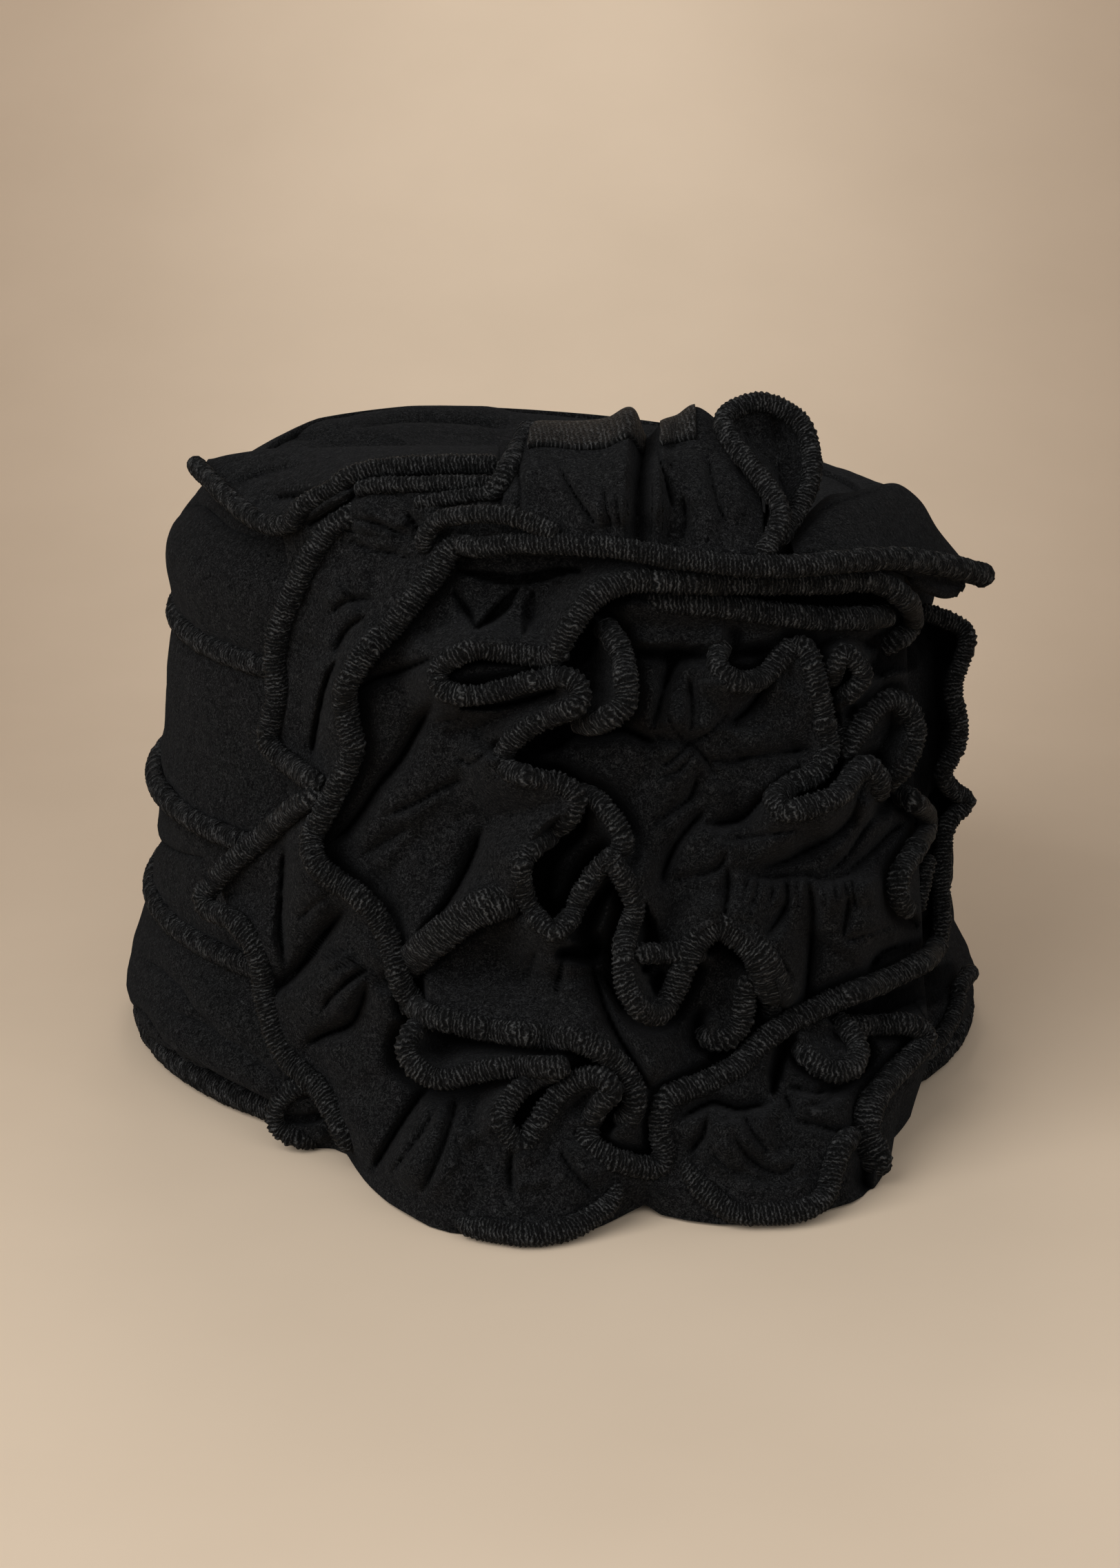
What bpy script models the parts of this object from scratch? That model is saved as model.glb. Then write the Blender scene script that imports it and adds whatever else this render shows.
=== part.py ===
"""A soft ruffled hat: a stacked drum of cloth tiers with a mass of ruffles over its front.

The hat rests on its hem. X runs to the right, -Y to the front and Z up, with the origin at the
middle of the drum on the floor. Tables are in millimetres and Blender's scene is in metres.
"""

import math

import bmesh
import bpy
import numpy as np
from mathutils.bvhtree import BVHTree

MM = 0.001

# Driving sizes
WALL = 2.4
EDGE_RADIUS = 2.4
WELT_RADIUS = 2.6
GAP = 0.4
EDGE_SLACK = 0.45
RING_STEPS = 36
STATION_STEP = 7.6
ROUTE_STEP = 3.0
CURVE_SPANS = 12
RUFFLE_SPANS = 2
MERGE = 0.00001

# The upright chart that the ruffles are drawn on stands on the drum's axis, square to the sight line
SIGHT_DISTANCE = 785.0
SIGHT_TILT = math.radians(16.6)
CHART_HEIGHT = 56.0
SIGHT_PASSES = 12

# Outside of the drum under the ruffles: height, radius
SHELL = [(0, 99), (12, 101), (30, 97), (60, 94.5), (100, 91.5), (118, 91), (140, 88), (160, 86)]

# Tiers, top to bottom: name, then height and outside radius down the wall
TIERS = [
    ("drum_tier_1", [(133.5, 77), (130, 84.5), (120, 90.3), (111, 91), (104.6, 90)]),
    ("drum_tier_2", [(98.4, 91), (86, 92.8), (74, 93.8), (65.4, 94)]),
    ("drum_tier_3", [(59.1, 94.3), (49, 96), (37.3, 96)]),
    ("drum_tier_4", [(31.1, 96.3), (24, 97.3), (16, 100.2), (11.5, 101.3), (9, 100)]),
]

# Seam rolls between the tiers: name, height, radius of the roll's centre line, and the angle from
# the front at which it ends at the left. Each starts at the right, behind the side ruffle.
WELTS = [("welt_1", 101.5, 91.2, -41), ("welt_2", 62.2, 95.6, -48), ("welt_3", 34.2, 97.0, -42)]
WELT_START = 98.0
WELT_STATIONS = 25

# Rolled hem: height, radius, round its section from the inside of the flat underside
HEM = [(0, 97.5), (0, 100.8), (2, 102.6), (5, 102.6), (8, 100.6), (8.4, 98.8), (6, 96.6), (2, 96.2)]

# Crown: radius, height of its upper face from the middle out
CROWN = [(0, 127.5), (30, 127.5), (56, 130), (68, 133), (73.6, 133.6)]
CROWN_EDGE = [(74.2, 132.4)]

# Sides of the front cover: height, left angle, right angle
COVER_SIDES = [
    (0, -38, 44), (6, -37, 46), (13, -31, 50), (22, -33, 53), (38, -39, 54), (49, -49, 55),
    (62, -43, 55), (80, -33, 55), (90, -38, 55), (107, -38, 55), (120, -35, 53), (134, -30, 49),
]
COVER_COLUMNS = 38
COVER_ROWS = 22
COVER_FOOT = 0.6
COVER_TOP = 133.0
COVER_LEAST = 5.6
COVER_RADIUS = 112.0
MM_PER_DEGREE = math.radians(1) * COVER_RADIUS

# How far a terrace falls away past its edge
TERRACE_FALL = 4.0

# How a roll is laid on the cover: from how far out, how far in at most, in what steps
SEAT_OUT = 12.0
SEAT_IN = 8.0
SEAT_STEP = 0.1
SEAT_SAMPLES = 6
SEAT_ROUNDS = 40

# The cover's top turned in over the drum: how far in and up from its last row, and its wall's step
TURN_IN = [(4, 1.2, 1.4), (9, 1.8, 0.0), (14, 2.2, 0.0)]

# Stand-off of the cover before its folds: heights across, then angle and stand-off at each height
BASE_HEIGHTS = [25, 50, 80, 110, 137]
BASE = [
    (-50, (5, 4, 3, 3, 3)),
    (-36, (7, 8, 7, 6, 6)),
    (-20, (15, 13, 12, 11, 9)),
    (0, (22, 17, 15, 13, 12)),
    (20, (23, 18, 16, 14, 13)),
    (40, (18, 16, 15, 13, 12)),
    (60, (6, 6, 6, 6, 6)),
    (80, (3, 3, 3, 3, 3)),
]

# Lobes spread on the floor: angle, stand-off at the floor
LOBES = [
    (-38, 5), (-33, 9), (-27, 4), (-22, 11), (-16, 22), (-11, 33), (-7, 36), (-3, 38), (1, 37),
    (4, 32), (7.5, 20), (10, 26), (14, 33), (20, 35), (25, 33), (28, 27), (31, 22), (36, 15),
    (42, 6), (48, 3),
]
LOBE_HEIGHT = 27.0

# Overlocked edges over the cover: name, side its cloth lies on, reach of that cloth, stand-off at
# the start and end, and the route as across and up on the chart
EDGES = [
    ("edge_left_outer", "left", 9, 8, 9,
     [(-45, 66), (-53, 62), (-60, 52), (-66, 38), (-67, 28), (-68, 14), (-66, 7), (-60, 3)]),
    ("edge_left_lower", "left", 10, 9, 10,
     [(-66, -9), (-76, -18), (-84, -27), (-78, -33), (-71, -42), (-69, -53), (-64, -66), (-57, -73)]),
    ("edge_left_inner", "right", 12, 16, 20,
     [(-27, 53), (-35, 44), (-45, 33), (-51, 22), (-49, 8), (-56, -7), (-58, -18), (-48, -27),
      (-40, -38), (-36, -48)]),
    ("edge_low_band", "left", 16, 27, 34,
     [(-32, -54), (-22, -57.5), (-10, -59.5), (4, -61.5), (13, -65), (19, -72), (18, -80)]),
    ("edge_side_band", "left", 12, 22, 27, [(-34, -43), (-28, -36), (-20, -30.5), (-13, -28)]),
    ("edge_front_loop", "right", 10, 26, 28,
     [(-5, 31.5), (-17, 33), (-26, 30), (-28, 25), (-22, 21), (-10, 23), (2, 25.5), (6, 22), (0, 17),
      (-9, 12), (-13, 6)]),
    ("edge_front_bend", "right", 14, 28, 30,
     [(-10, 1.5), (-3, 0.5), (4, -3), (1, -10), (-7, -17), (-8, -25), (-4, -33), (0, -36), (5, -31),
      (10, -22), (14.5, -18)]),
    ("edge_front_drop", "left", 12, 28, 28,
     [(18, -23), (20, -30), (17, -40), (19, -51), (24, -55.5), (29, -50), (32, -41), (38, -35),
      (45, -36), (51, -42), (55, -51)]),
    ("edge_upper_hook", "left", 10, 27, 20,
     [(1, 34), (7, 43), (14, 48), (25, 49.5), (45, 49), (65, 49), (78, 49), (85, 45), (87, 40),
      (82, 34)]),
    ("edge_upper_flap", "right", 9, 20, 18, [(22, 43.5), (36, 43), (50, 41.5), (62, 40), (75, 39.5)]),
    ("edge_short_drop", "right", 8, 23, 27, [(12, 38.5), (15.5, 32), (17, 24), (14.5, 17.5), (8, 15.5)]),
    ("edge_right_curl", "right", 8, 20, 20, [(40, 30), (44, 25.5), (51, 27), (55, 31)]),
    ("edge_right_drop", "right", 10, 22, 25,
     [(60, 30), (63, 21), (65, 11), (61, 4), (54, -1), (56, -6), (65, -4), (72, 2)]),
    ("edge_right_knot", "left", 6, 29, 29, [(70.3, 24), (72, 31), (76.5, 29), (77.5, 23), (73, 19)]),
    ("edge_right_loop", "right", 8, 22, 22,
     [(70, 16), (71, 8), (76, 15), (81, 19.5), (86, 16), (86, 9), (82, 2)]),
    ("edge_right_hook", "left", 7, 20, 20, [(82, -2), (88, -5), (90, -11), (86, -19), (84, -28)]),
    ("edge_long_sweep", "left", 16, 16, 34,
     [(93, -40), (86, -45), (74, -50.5), (60, -56.5), (50, -63), (44, -68.5), (35, -73.5), (28, -77),
      (26, -84), (26, -91), (20, -93), (11, -89.5), (8, -85)]),
    ("edge_low_loop", "left", 8, 36, 37,
     [(12, -76), (11, -71.5), (4, -73), (-2, -79), (-7, -86.5), (-12, -84), (-13, -79), (-8, -73.5)]),
    ("edge_low_left", "right", 8, 33, 32, [(-10, -67.3), (-18, -69), (-28, -71), (-34, -67), (-35, -61)]),
    ("edge_small_curl", "left", 6, 25, 25, [(38, -58), (42, -61), (45, -56), (46.5, -49)]),
    ("edge_low_curl", "left", 7, 26, 26, [(60.5, -64), (65, -69), (72, -68), (73, -64), (70, -61)]),
    ("edge_low_right", "left", 9, 18, 24,
     [(77, -58), (85, -58), (90, -61), (85, -68), (79, -75), (76.5, -83)]),
]

# Deep folds of the cover: depth, half width, route as across and up on the chart, at one stand-off
FOLD_PROUD = 14
FOLDS = [
    (7, 2.5, [(-29, 20), (-37, 6), (-46, -6), (-54, -14)]),
    (6, 2.0, [(-52, 31), (-57, 15), (-58, 6)]),
    (7, 2.5, [(-17, -10), (-24, -26), (-34, -38)]),
    (6, 2.0, [(-65, -14), (-66, -34), (-65, -44)]),
    (7, 2.5, [(-50, -30), (-60, -43), (-70, -50)]),
    (6, 2.2, [(-46, -50), (-50, -58), (-60, -63)]),
    (7, 2.8, [(-31, -74), (-38, -84), (-43, -92)]),
    (5, 2.0, [(-24, -78), (-30, -95)]),
    (9, 2.6, [(-21, 50), (-8, 49.5), (3, 50.5)]),
    (8, 3.0, [(9, 38), (7, 33), (4, 29)]),
    (10, 3.6, [(7, -5), (0, -14), (-3, -22), (0, -30)]),
    (10, 3.4, [(13, -25), (8, -33), (6, -40)]),
    (8, 2.4, [(9, -42), (14, -58), (23, -75)]),
    (7, 2.6, [(30, 33), (26, 22), (24, 14)]),
    (7, 2.6, [(54, 28), (47, 18), (41, 14)]),
    (7, 2.6, [(61, 5), (50, -4), (42, -9.5), (34, -10)]),
    (7, 2.6, [(37, -6), (30, -14), (26, -25)]),
    (8, 2.6, [(48, -20.5), (60, -16.5), (70, -10), (74, -3)]),
    (8, 2.6, [(70, -22), (80, -13), (85, -9)]),
    (8, 2.6, [(61, -22), (62.5, -34), (60, -54)]),
    (6, 2.2, [(56, -22), (55, -32), (51, -37)]),
    (9, 3.0, [(75, -46), (84, -39), (90, -38)]),
    (10, 4.5, [(72, -55), (82, -51), (91, -46)]),
    (9, 4.5, [(80, 30), (88, 36), (93, 40)]),
    (8, 3.0, [(89, 12), (87, 2), (85, -5)]),
    (9, 2.6, [(54, -76), (44, -78), (31, -81)]),
]

# Ruffles that stand free of the drum: a row for each section, from its foot over its crest to its
# free edge, each place as across, up and forward
LEFT_RUFFLE = [
    ((-80, 76.5, 12), (-83, 78.5, 22), (-83, 77.5, 31)),
    ((-76, 77.0, 16), (-79, 79.3, 30), (-78, 73.0, 50)),
    ((-68, 76.0, 20), (-70, 80.3, 38), (-70, 68.5, 68)),
    ((-58, 76.0, 24), (-60, 80.8, 44), (-61, 69.0, 80)),
    ((-48, 76.0, 27), (-49, 81.2, 48), (-50, 77.0, 82)),
    ((-37, 76.0, 29), (-38, 81.4, 51), (-38, 79.0, 84)),
    ((-25, 76.0, 31), (-26, 81.4, 53), (-26, 79.5, 86)),
    ((-15, 76.0, 33), (-15, 81.6, 55), (-15, 79.0, 87)),
]
TOP_RUFFLE = [
    ((-7, 66.0, 52), (-6, 81.5, 74), (-9, 66.0, 101)),
    ((-2, 66.0, 50), (-1, 82.0, 71), (-3, 63.5, 106)),
    ((5, 66.0, 50), (6, 82.0, 70), (5, 63.0, 108)),
    ((12, 66.0, 50), (13, 82.5, 70), (12, 63.0, 109)),
    ((18, 66.0, 50), (19, 84.0, 72), (17, 63.5, 110)),
    ((21, 66.0, 44), (22, 80.0, 60), (20, 64.0, 98)),
    ((26, 66.0, 48), (26, 82.0, 68), (24, 64.0, 108)),
    ((30, 66.0, 44), (30, 83.0, 64), (28, 64.0, 103)),
    ((35, 66.0, 46), (34, 85.5, 66), (33, 63.0, 108)),
    ((40, 66.0, 46), (38, 84.0, 64), (40, 62.0, 107)),
]
WING_RUFFLE = [
    ((63, 69.5, 66), (65, 66.5, 88), (66, 58.0, 100)),
    ((70, 72.0, 54), (71, 69.5, 76), (72, 58.3, 95)),
    ((76, 73.0, 44), (77, 71.5, 64), (78, 58.5, 89)),
    ((82, 73.3, 36), (83, 72.0, 53), (85, 58.5, 80)),
    ((87, 67.5, 30), (88, 69.0, 44), (91, 57.5, 68)),
    ((92, 62.3, 27), (93, 61.5, 38), (97, 56.0, 56)),
    ((96, 57.5, 27), (97, 56.0, 34), (101, 54.0, 47)),
]
SIDE_RUFFLE = [
    ((98, 40, 6), (95, 41.0, 24), (92, 42.5, 41)),
    ((98, 34, 6), (97, 35.0, 26), (99, 36.0, 43)),
    ((98, 27, 6), (97, 28.0, 27), (96, 28.0, 46)),
    ((98.5, 19, 6), (97, 20.0, 27), (95.5, 20.0, 46)),
    ((99.3, 11, 6), (98, 11.0, 27), (96.5, 11.0, 46)),
    ((100, 3, 6), (98, 3.0, 28), (92.5, 2.0, 50)),
    ((100.5, -3, 6), (99, -3.5, 26), (98.5, -4.0, 41)),
    ((101, -10, 6), (98, -10.0, 28), (94.5, -10.0, 48)),
    ((101.3, -18, 8), (98, -18.0, 29), (92.5, -18.0, 51)),
    ((101.5, -27, 12), (98, -27.0, 29), (93, -27.0, 51)),
    ((102, -33, 17), (98, -35.0, 30), (92.5, -34.5, 51)),
]

# Edge rolls of the free ruffles: across, up and forward
LONG_TOP_EDGE = [
    (-24, 55, 104), (-16, 57, 107), (0, 58, 111), (15, 57, 112), (30, 54.5, 112), (45, 52.8, 111),
    (58, 52.5, 108), (70, 53.5, 101), (82, 54.0, 88), (92, 53.0, 72), (100, 51.3, 55), (104, 49.8, 45),
]
LOOP_EDGE = [
    (51.5, 57.0, 108), (54.5, 64.5, 104), (50.5, 73, 98), (45, 80, 93), (41, 87, 86), (44.5, 91, 82),
    (50.5, 92.5, 80), (57, 90, 80), (61, 85, 82), (62.5, 78, 86), (61.5, 71.5, 90), (58, 65.5, 94),
]
LEFT_LOBE_EDGE = [
    (-24, -106, 139), (-16, -109, 142.5), (-7, -110.3, 145), (1, -109, 143.5), (8, -105.5, 140),
    (13.5, -101.5, 138), (16, -96.5, 135.5),
]
RIGHT_LOBE_EDGE = [
    (33, -93, 128), (36.5, -99.5, 132), (43, -103.5, 133), (52, -104, 132.6), (60, -103, 131.2),
    (65.5, -99.5, 129), (67.5, -93, 125), (69.5, -87.5, 120), (73, -84, 114),
]
LOOP_MIDDLE = (53, 75)
LOOP_SETBACK = 26.0
LOOP_INNER_SHARE = 0.5
LOOP_SLACK = 0.4

COLLECTION = "ruffle_hat"
CLOTH_COLOUR = (0.012, 0.012, 0.013, 1.0)
EDGE_COLOUR = (0.02, 0.02, 0.021, 1.0)


def clear_scene():
    for obj in list(bpy.data.objects):
        bpy.data.objects.remove(obj, do_unlink=True)


def material(name, colour, roughness):
    made = bpy.data.materials.new(name)
    made.use_nodes = True
    shader = made.node_tree.nodes["Principled BSDF"]
    shader.inputs["Base Color"].default_value = colour
    shader.inputs["Roughness"].default_value = roughness
    shader.inputs["Metallic"].default_value = 0.0
    return made


def add_object(name, data, cloth):
    obj = bpy.data.objects.new(name, data)
    obj.data.materials.append(cloth)
    bpy.data.collections[COLLECTION].objects.link(obj)
    return obj


def shell_radius(height):
    heights, radii = zip(*SHELL)
    return np.interp(height, heights, radii)


def sight_line(across, up):
    """The eye, and the step from it to this place on the chart."""
    eye = np.array([0.0, -math.cos(SIGHT_TILT) * SIGHT_DISTANCE,
                    CHART_HEIGHT + math.sin(SIGHT_TILT) * SIGHT_DISTANCE])
    place = np.array([across, math.sin(SIGHT_TILT) * up, CHART_HEIGHT + math.cos(SIGHT_TILT) * up])
    return eye, place - eye


def at_forward(across, up, forward):
    """Where the sight line is this far in front of the drum's axis."""
    eye, step = sight_line(across, up)
    return eye + step * (-forward - eye[1]) / step[1]


def on_shell(across, up, proud):
    """Where the sight line meets the drum, grown outwards by the stand-off."""
    eye, step = sight_line(across, up)
    height = CHART_HEIGHT + up
    for _ in range(SIGHT_PASSES):
        radius = shell_radius(height) + proud
        a = step[0] ** 2 + step[1] ** 2
        b = eye[1] * step[1]
        inside = max(b * b - a * (eye[1] ** 2 - radius ** 2), 0.0)
        point = eye + step * (-b - math.sqrt(inside)) / a
        height = 0.5 * (height + point[2])
    return point


def curve_through(rows, spans):
    """A Catmull-Rom curve through the rows, with this many spans between two rows."""
    rows = np.array(rows, float)
    ends = np.vstack([2 * rows[0] - rows[1], rows, 2 * rows[-1] - rows[-2]])
    fine = []
    for p0, p1, p2, p3 in zip(ends, ends[1:], ends[2:], ends[3:]):
        for t in np.linspace(0, 1, spans, endpoint=False):
            fine.append(0.5 * (2 * p1 + (p2 - p0) * t + (2 * p0 - 5 * p1 + 4 * p2 - p3) * t ** 2
                               + (3 * p1 - p0 - 3 * p2 + p3) * t ** 3))
    return np.array(fine + [rows[-1]])


def smooth_route(rows, step):
    """Points about a step apart on the curve through the rows."""
    fine = curve_through(rows, CURVE_SPANS)
    along = np.concatenate([[0], np.cumsum(np.linalg.norm(np.diff(fine, axis=0), axis=1))])
    count = max(3, round(along[-1] / step) + 1)
    wanted = np.linspace(0, along[-1], count)
    return np.stack([np.interp(wanted, along, column) for column in fine.T], axis=1)


def unrolled(point):
    """A point as angle in degrees, height and stand-off from the shell."""
    angle = math.degrees(math.atan2(point[0], -point[1]))
    return angle, point[2], math.hypot(point[0], point[1]) - shell_radius(point[2])


def rolled(angle, height, proud):
    radius = shell_radius(height) + proud
    turn = np.radians(angle)
    return np.stack([radius * np.sin(turn), -radius * np.cos(turn), height + 0 * radius], axis=-1)


def route_on_cover(route, proud_from, proud_to, step):
    """The route's angle, height and stand-off, with angles scaled to lengths on the cover."""
    chart = smooth_route(route, step)
    prouds = np.linspace(proud_from, proud_to, len(chart))
    places = [unrolled(on_shell(a, u, p)) for (a, u), p in zip(chart, prouds)]
    return np.array(places) * (MM_PER_DEGREE, 1, 1)


def nearest_on_route(route, across, height):
    """Distance to the route, its side (+1 left of travel) and the stand-off there."""
    da = across[..., None] - route[:, 0]
    dh = height[..., None] - route[:, 1]
    index = np.argmin(da ** 2 + dh ** 2, axis=-1)
    travel = np.gradient(route[:, :2], axis=0)[index]
    da = np.take_along_axis(da, index[..., None], -1)[..., 0]
    dh = np.take_along_axis(dh, index[..., None], -1)[..., 0]
    side = np.sign(travel[..., 0] * dh - travel[..., 1] * da)
    return np.hypot(da, dh), side, route[:, 2][index]


def ease(value):
    value = np.clip(value, 0, 1)
    return value * value * (3 - 2 * value)


def base_proud(angle, height):
    """Stand-off of the cover before its edges and folds."""
    columns = np.array([row[1] for row in BASE], float)
    angles = [row[0] for row in BASE]
    by_height = [np.interp(angle, angles, column) for column in columns.T]
    stack = np.stack(by_height, axis=-1)
    span = np.interp(height, BASE_HEIGHTS, np.arange(len(BASE_HEIGHTS)))
    low = np.clip(span.astype(int), 0, len(BASE_HEIGHTS) - 2)
    share = span - low
    first = np.take_along_axis(stack, low[..., None], -1)[..., 0]
    second = np.take_along_axis(stack, low[..., None] + 1, -1)[..., 0]
    proud = first + (second - first) * share
    lobe_angles, lobe_prouds = zip(*LOBES)
    floor_proud = np.interp(angle, lobe_angles, lobe_prouds)
    blend = ease(1 - height / LOBE_HEIGHT)
    return proud + (floor_proud - proud) * blend


def cover_proud(angle, height):
    """Stand-off of the front cover, with a terrace at each edge and a valley at each fold."""
    base = base_proud(angle, height)
    across = angle * MM_PER_DEGREE
    lift = np.zeros_like(base)
    for _, cloth_side, reach, proud_from, proud_to, route in EDGES:
        places = route_on_cover(route, proud_from, proud_to, ROUTE_STEP)
        distance, side, proud = nearest_on_route(places, across, height)
        top = np.maximum(proud - EDGE_RADIUS - GAP - base, 0)
        cloth = side == (1 if cloth_side == "left" else -1)
        fade = np.where(cloth, 1 - ease(distance / reach), 1 - ease(distance / TERRACE_FALL))
        lift = np.maximum(lift, top * fade)
    dip = np.zeros_like(base)
    for depth, half_width, route in FOLDS:
        places = route_on_cover(route, FOLD_PROUD, FOLD_PROUD, ROUTE_STEP)
        distance, _, _ = nearest_on_route(places, across, height)
        dip = np.maximum(dip, depth * np.exp(-(distance / half_width) ** 2))
    return np.maximum(base + lift - dip, COVER_LEAST)


def grid_object(name, points, cloth):
    """An open cloth surface through rows of points, thickened inwards to a wall."""
    rows, columns = points.shape[:2]
    mesh = bmesh.new()
    verts = [[mesh.verts.new(p * MM) for p in row] for row in points]
    for i in range(rows - 1):
        for j in range(columns - 1):
            mesh.faces.new((verts[i][j], verts[i][j + 1], verts[i + 1][j + 1], verts[i + 1][j]))
    data = bpy.data.meshes.new(name)
    mesh.to_mesh(data)
    mesh.free()
    data.shade_smooth()
    obj = add_object(name, data, cloth)
    wall = obj.modifiers.new("wall", "SOLIDIFY")
    wall.thickness = WALL * MM
    wall.offset = 1.0
    return obj


def cover_grid():
    """Angles and heights of the cover's grid, with its sides following the outer edges."""
    heights = np.linspace(COVER_FOOT, COVER_TOP, COVER_ROWS)
    levels, lefts, rights = zip(*COVER_SIDES)
    share = np.linspace(0, 1, COVER_COLUMNS)
    left = np.interp(heights, levels, lefts)[:, None]
    right = np.interp(heights, levels, rights)[:, None]
    return left + (right - left) * share, np.repeat(heights[:, None], COVER_COLUMNS, axis=1)


def front_cover(cloth):
    """The gathered cloth over the front, closed to the drum's side by a wall of even depth."""
    angle, height = cover_grid()
    proud = cover_proud(angle, height)
    outer = list(rolled(angle, height, proud))
    inner = list(rolled(angle, height, proud - WALL))
    for inwards, upwards, wall_step in TURN_IN:
        outer.append(rolled(angle[-1], height[-1], proud[-1] - inwards) + (0, 0, upwards))
        inner.append(rolled(angle[-1], height[-1], proud[-1] - inwards - wall_step)
                     + (0, 0, upwards - WALL))
    rows, columns = len(outer), angle.shape[1]
    mesh = bmesh.new()
    front = [[mesh.verts.new(p * MM) for p in row] for row in outer]
    back = [[mesh.verts.new(p * MM) for p in row] for row in inner]
    for i in range(rows - 1):
        for j in range(columns - 1):
            mesh.faces.new((front[i][j], front[i][j + 1], front[i + 1][j + 1], front[i + 1][j]))
            mesh.faces.new((back[i][j], back[i + 1][j], back[i + 1][j + 1], back[i][j + 1]))
    rim = ([(0, j) for j in range(columns)] + [(i, columns - 1) for i in range(1, rows)]
           + [(rows - 1, j) for j in range(columns - 2, -1, -1)] + [(i, 0) for i in range(rows - 2, 0, -1)])
    for (i, j), (k, m) in zip(rim, rim[1:] + rim[:1]):
        mesh.faces.new((front[i][j], back[i][j], back[k][m], front[k][m]))
    data = bpy.data.meshes.new("front_cover")
    bmesh.ops.recalc_face_normals(mesh, faces=mesh.faces)
    mesh.to_mesh(data)
    mesh.free()
    data.shade_smooth()
    return add_object("front_cover", data, cloth)


def cover_tree(cover):
    """The cover's faces, in millimetres, for finding how near a place lies to its cloth."""
    corners = [vertex.co / MM for vertex in cover.data.vertices]
    cover.data.calc_loop_triangles()
    return BVHTree.FromPolygons(corners, [tuple(face.vertices) for face in cover.data.loop_triangles])


def room(point, tree):
    """How far a roll centred here stands clear of the cloth, past the gap it keeps."""
    return tree.find_nearest(point)[3] - EDGE_RADIUS - GAP


def seated(points, tree):
    """The points moved straight in or out from the drum's axis until a roll along them rests there."""
    outwards = points * (1, 1, 0)
    outwards /= np.linalg.norm(outwards, axis=1)[:, None]
    shifts = []
    for point, out in zip(points, outwards):
        shift = SEAT_OUT
        while shift > -SEAT_IN and room(point + out * (shift - SEAT_STEP), tree) > 0:
            shift -= SEAT_STEP
        shifts.append(shift)
    shifts = np.array(shifts)
    for _ in range(SEAT_ROUNDS):
        laid = points + outwards * shifts[:, None]
        raised = np.zeros(len(shifts))
        for k in range(len(laid) - 1):
            shares = np.linspace(0, 1, SEAT_SAMPLES)[:, None]
            short = -min(room(place, tree) for place in laid[k] + (laid[k + 1] - laid[k]) * shares)
            raised[k:k + 2] = np.maximum(raised[k:k + 2], short)
        if raised.max() <= 0:
            break
        shifts += raised
    return points + outwards * shifts[:, None]


def edge_roll(name, points, radius, cloth):
    """An overlocked edge: a round roll along the points."""
    curve = bpy.data.curves.new(name, "CURVE")
    curve.dimensions = "3D"
    curve.bevel_depth = radius * MM
    curve.bevel_resolution = 1
    curve.use_fill_caps = True
    spline = curve.splines.new("POLY")
    spline.points.add(len(points) - 1)
    for control, point in zip(spline.points, points):
        control.co = (*(point * MM), 1.0)
    return add_object(name, curve, cloth)


def cover_edges(cloth, tree):
    """Each overlocked edge over the cover, laid on the cloth under it."""
    for name, _, _, proud_from, proud_to, route in EDGES:
        places = route_on_cover(route, proud_from, proud_to, STATION_STEP)
        points = rolled(places[:, 0] / MM_PER_DEGREE, places[:, 1], places[:, 2])
        edge_roll(name, seated(points, tree), EDGE_RADIUS, cloth)


def turned(name, profile, ring, cloth):
    """A turned piece from its radii and heights: a ring, or a disc whose profile ends on the axis."""
    mesh = bmesh.new()
    verts = [mesh.verts.new((radius * MM, 0, height * MM)) for radius, height in profile]
    for first, second in zip(verts, verts[1:] + verts[:1] if ring else verts[1:]):
        mesh.edges.new((first, second))
    data = bpy.data.meshes.new(name)
    mesh.to_mesh(data)
    mesh.free()
    obj = add_object(name, data, cloth)
    screw = obj.modifiers.new("turn", "SCREW")
    screw.axis = "Z"
    screw.angle = 2 * math.pi
    screw.steps = RING_STEPS
    screw.render_steps = RING_STEPS
    screw.use_merge_vertices = True
    screw.merge_threshold = MERGE
    screw.use_smooth_shade = True


def tiers(cloth):
    for name, wall in TIERS:
        outer = [(radius, height) for height, radius in wall]
        inner = [(radius - WALL, height) for height, radius in reversed(wall)]
        turned(name, outer + inner, True, cloth)


def hem_roll(cloth):
    turned("hem_roll", [(radius, height) for height, radius in reversed(HEM)], True, cloth)


def welts(cloth):
    for name, height, radius, end in WELTS:
        turns = np.radians(np.linspace(WELT_START, end + 360, WELT_STATIONS))
        points = np.stack([radius * np.sin(turns), -radius * np.cos(turns), height + 0 * turns], axis=1)
        edge_roll(name, points, WELT_RADIUS, cloth)


def crown_top(cloth):
    """The sunk top: a wall from the middle out to just inside the top tier."""
    under = [(radius, height - WALL) for radius, height in reversed(CROWN)]
    turned("crown_top", CROWN + CROWN_EDGE + under, False, cloth)


def ruffle(name, rows, cloth):
    """A free ruffle: a cloth wall lofted from its foot line over its crest to its front line."""
    rails = [np.array([at_forward(*place) for place in curve_through(rail, RUFFLE_SPANS)]) for rail in zip(*rows)]
    grid_object(name, np.stack(rails), cloth)
    return rails


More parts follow.
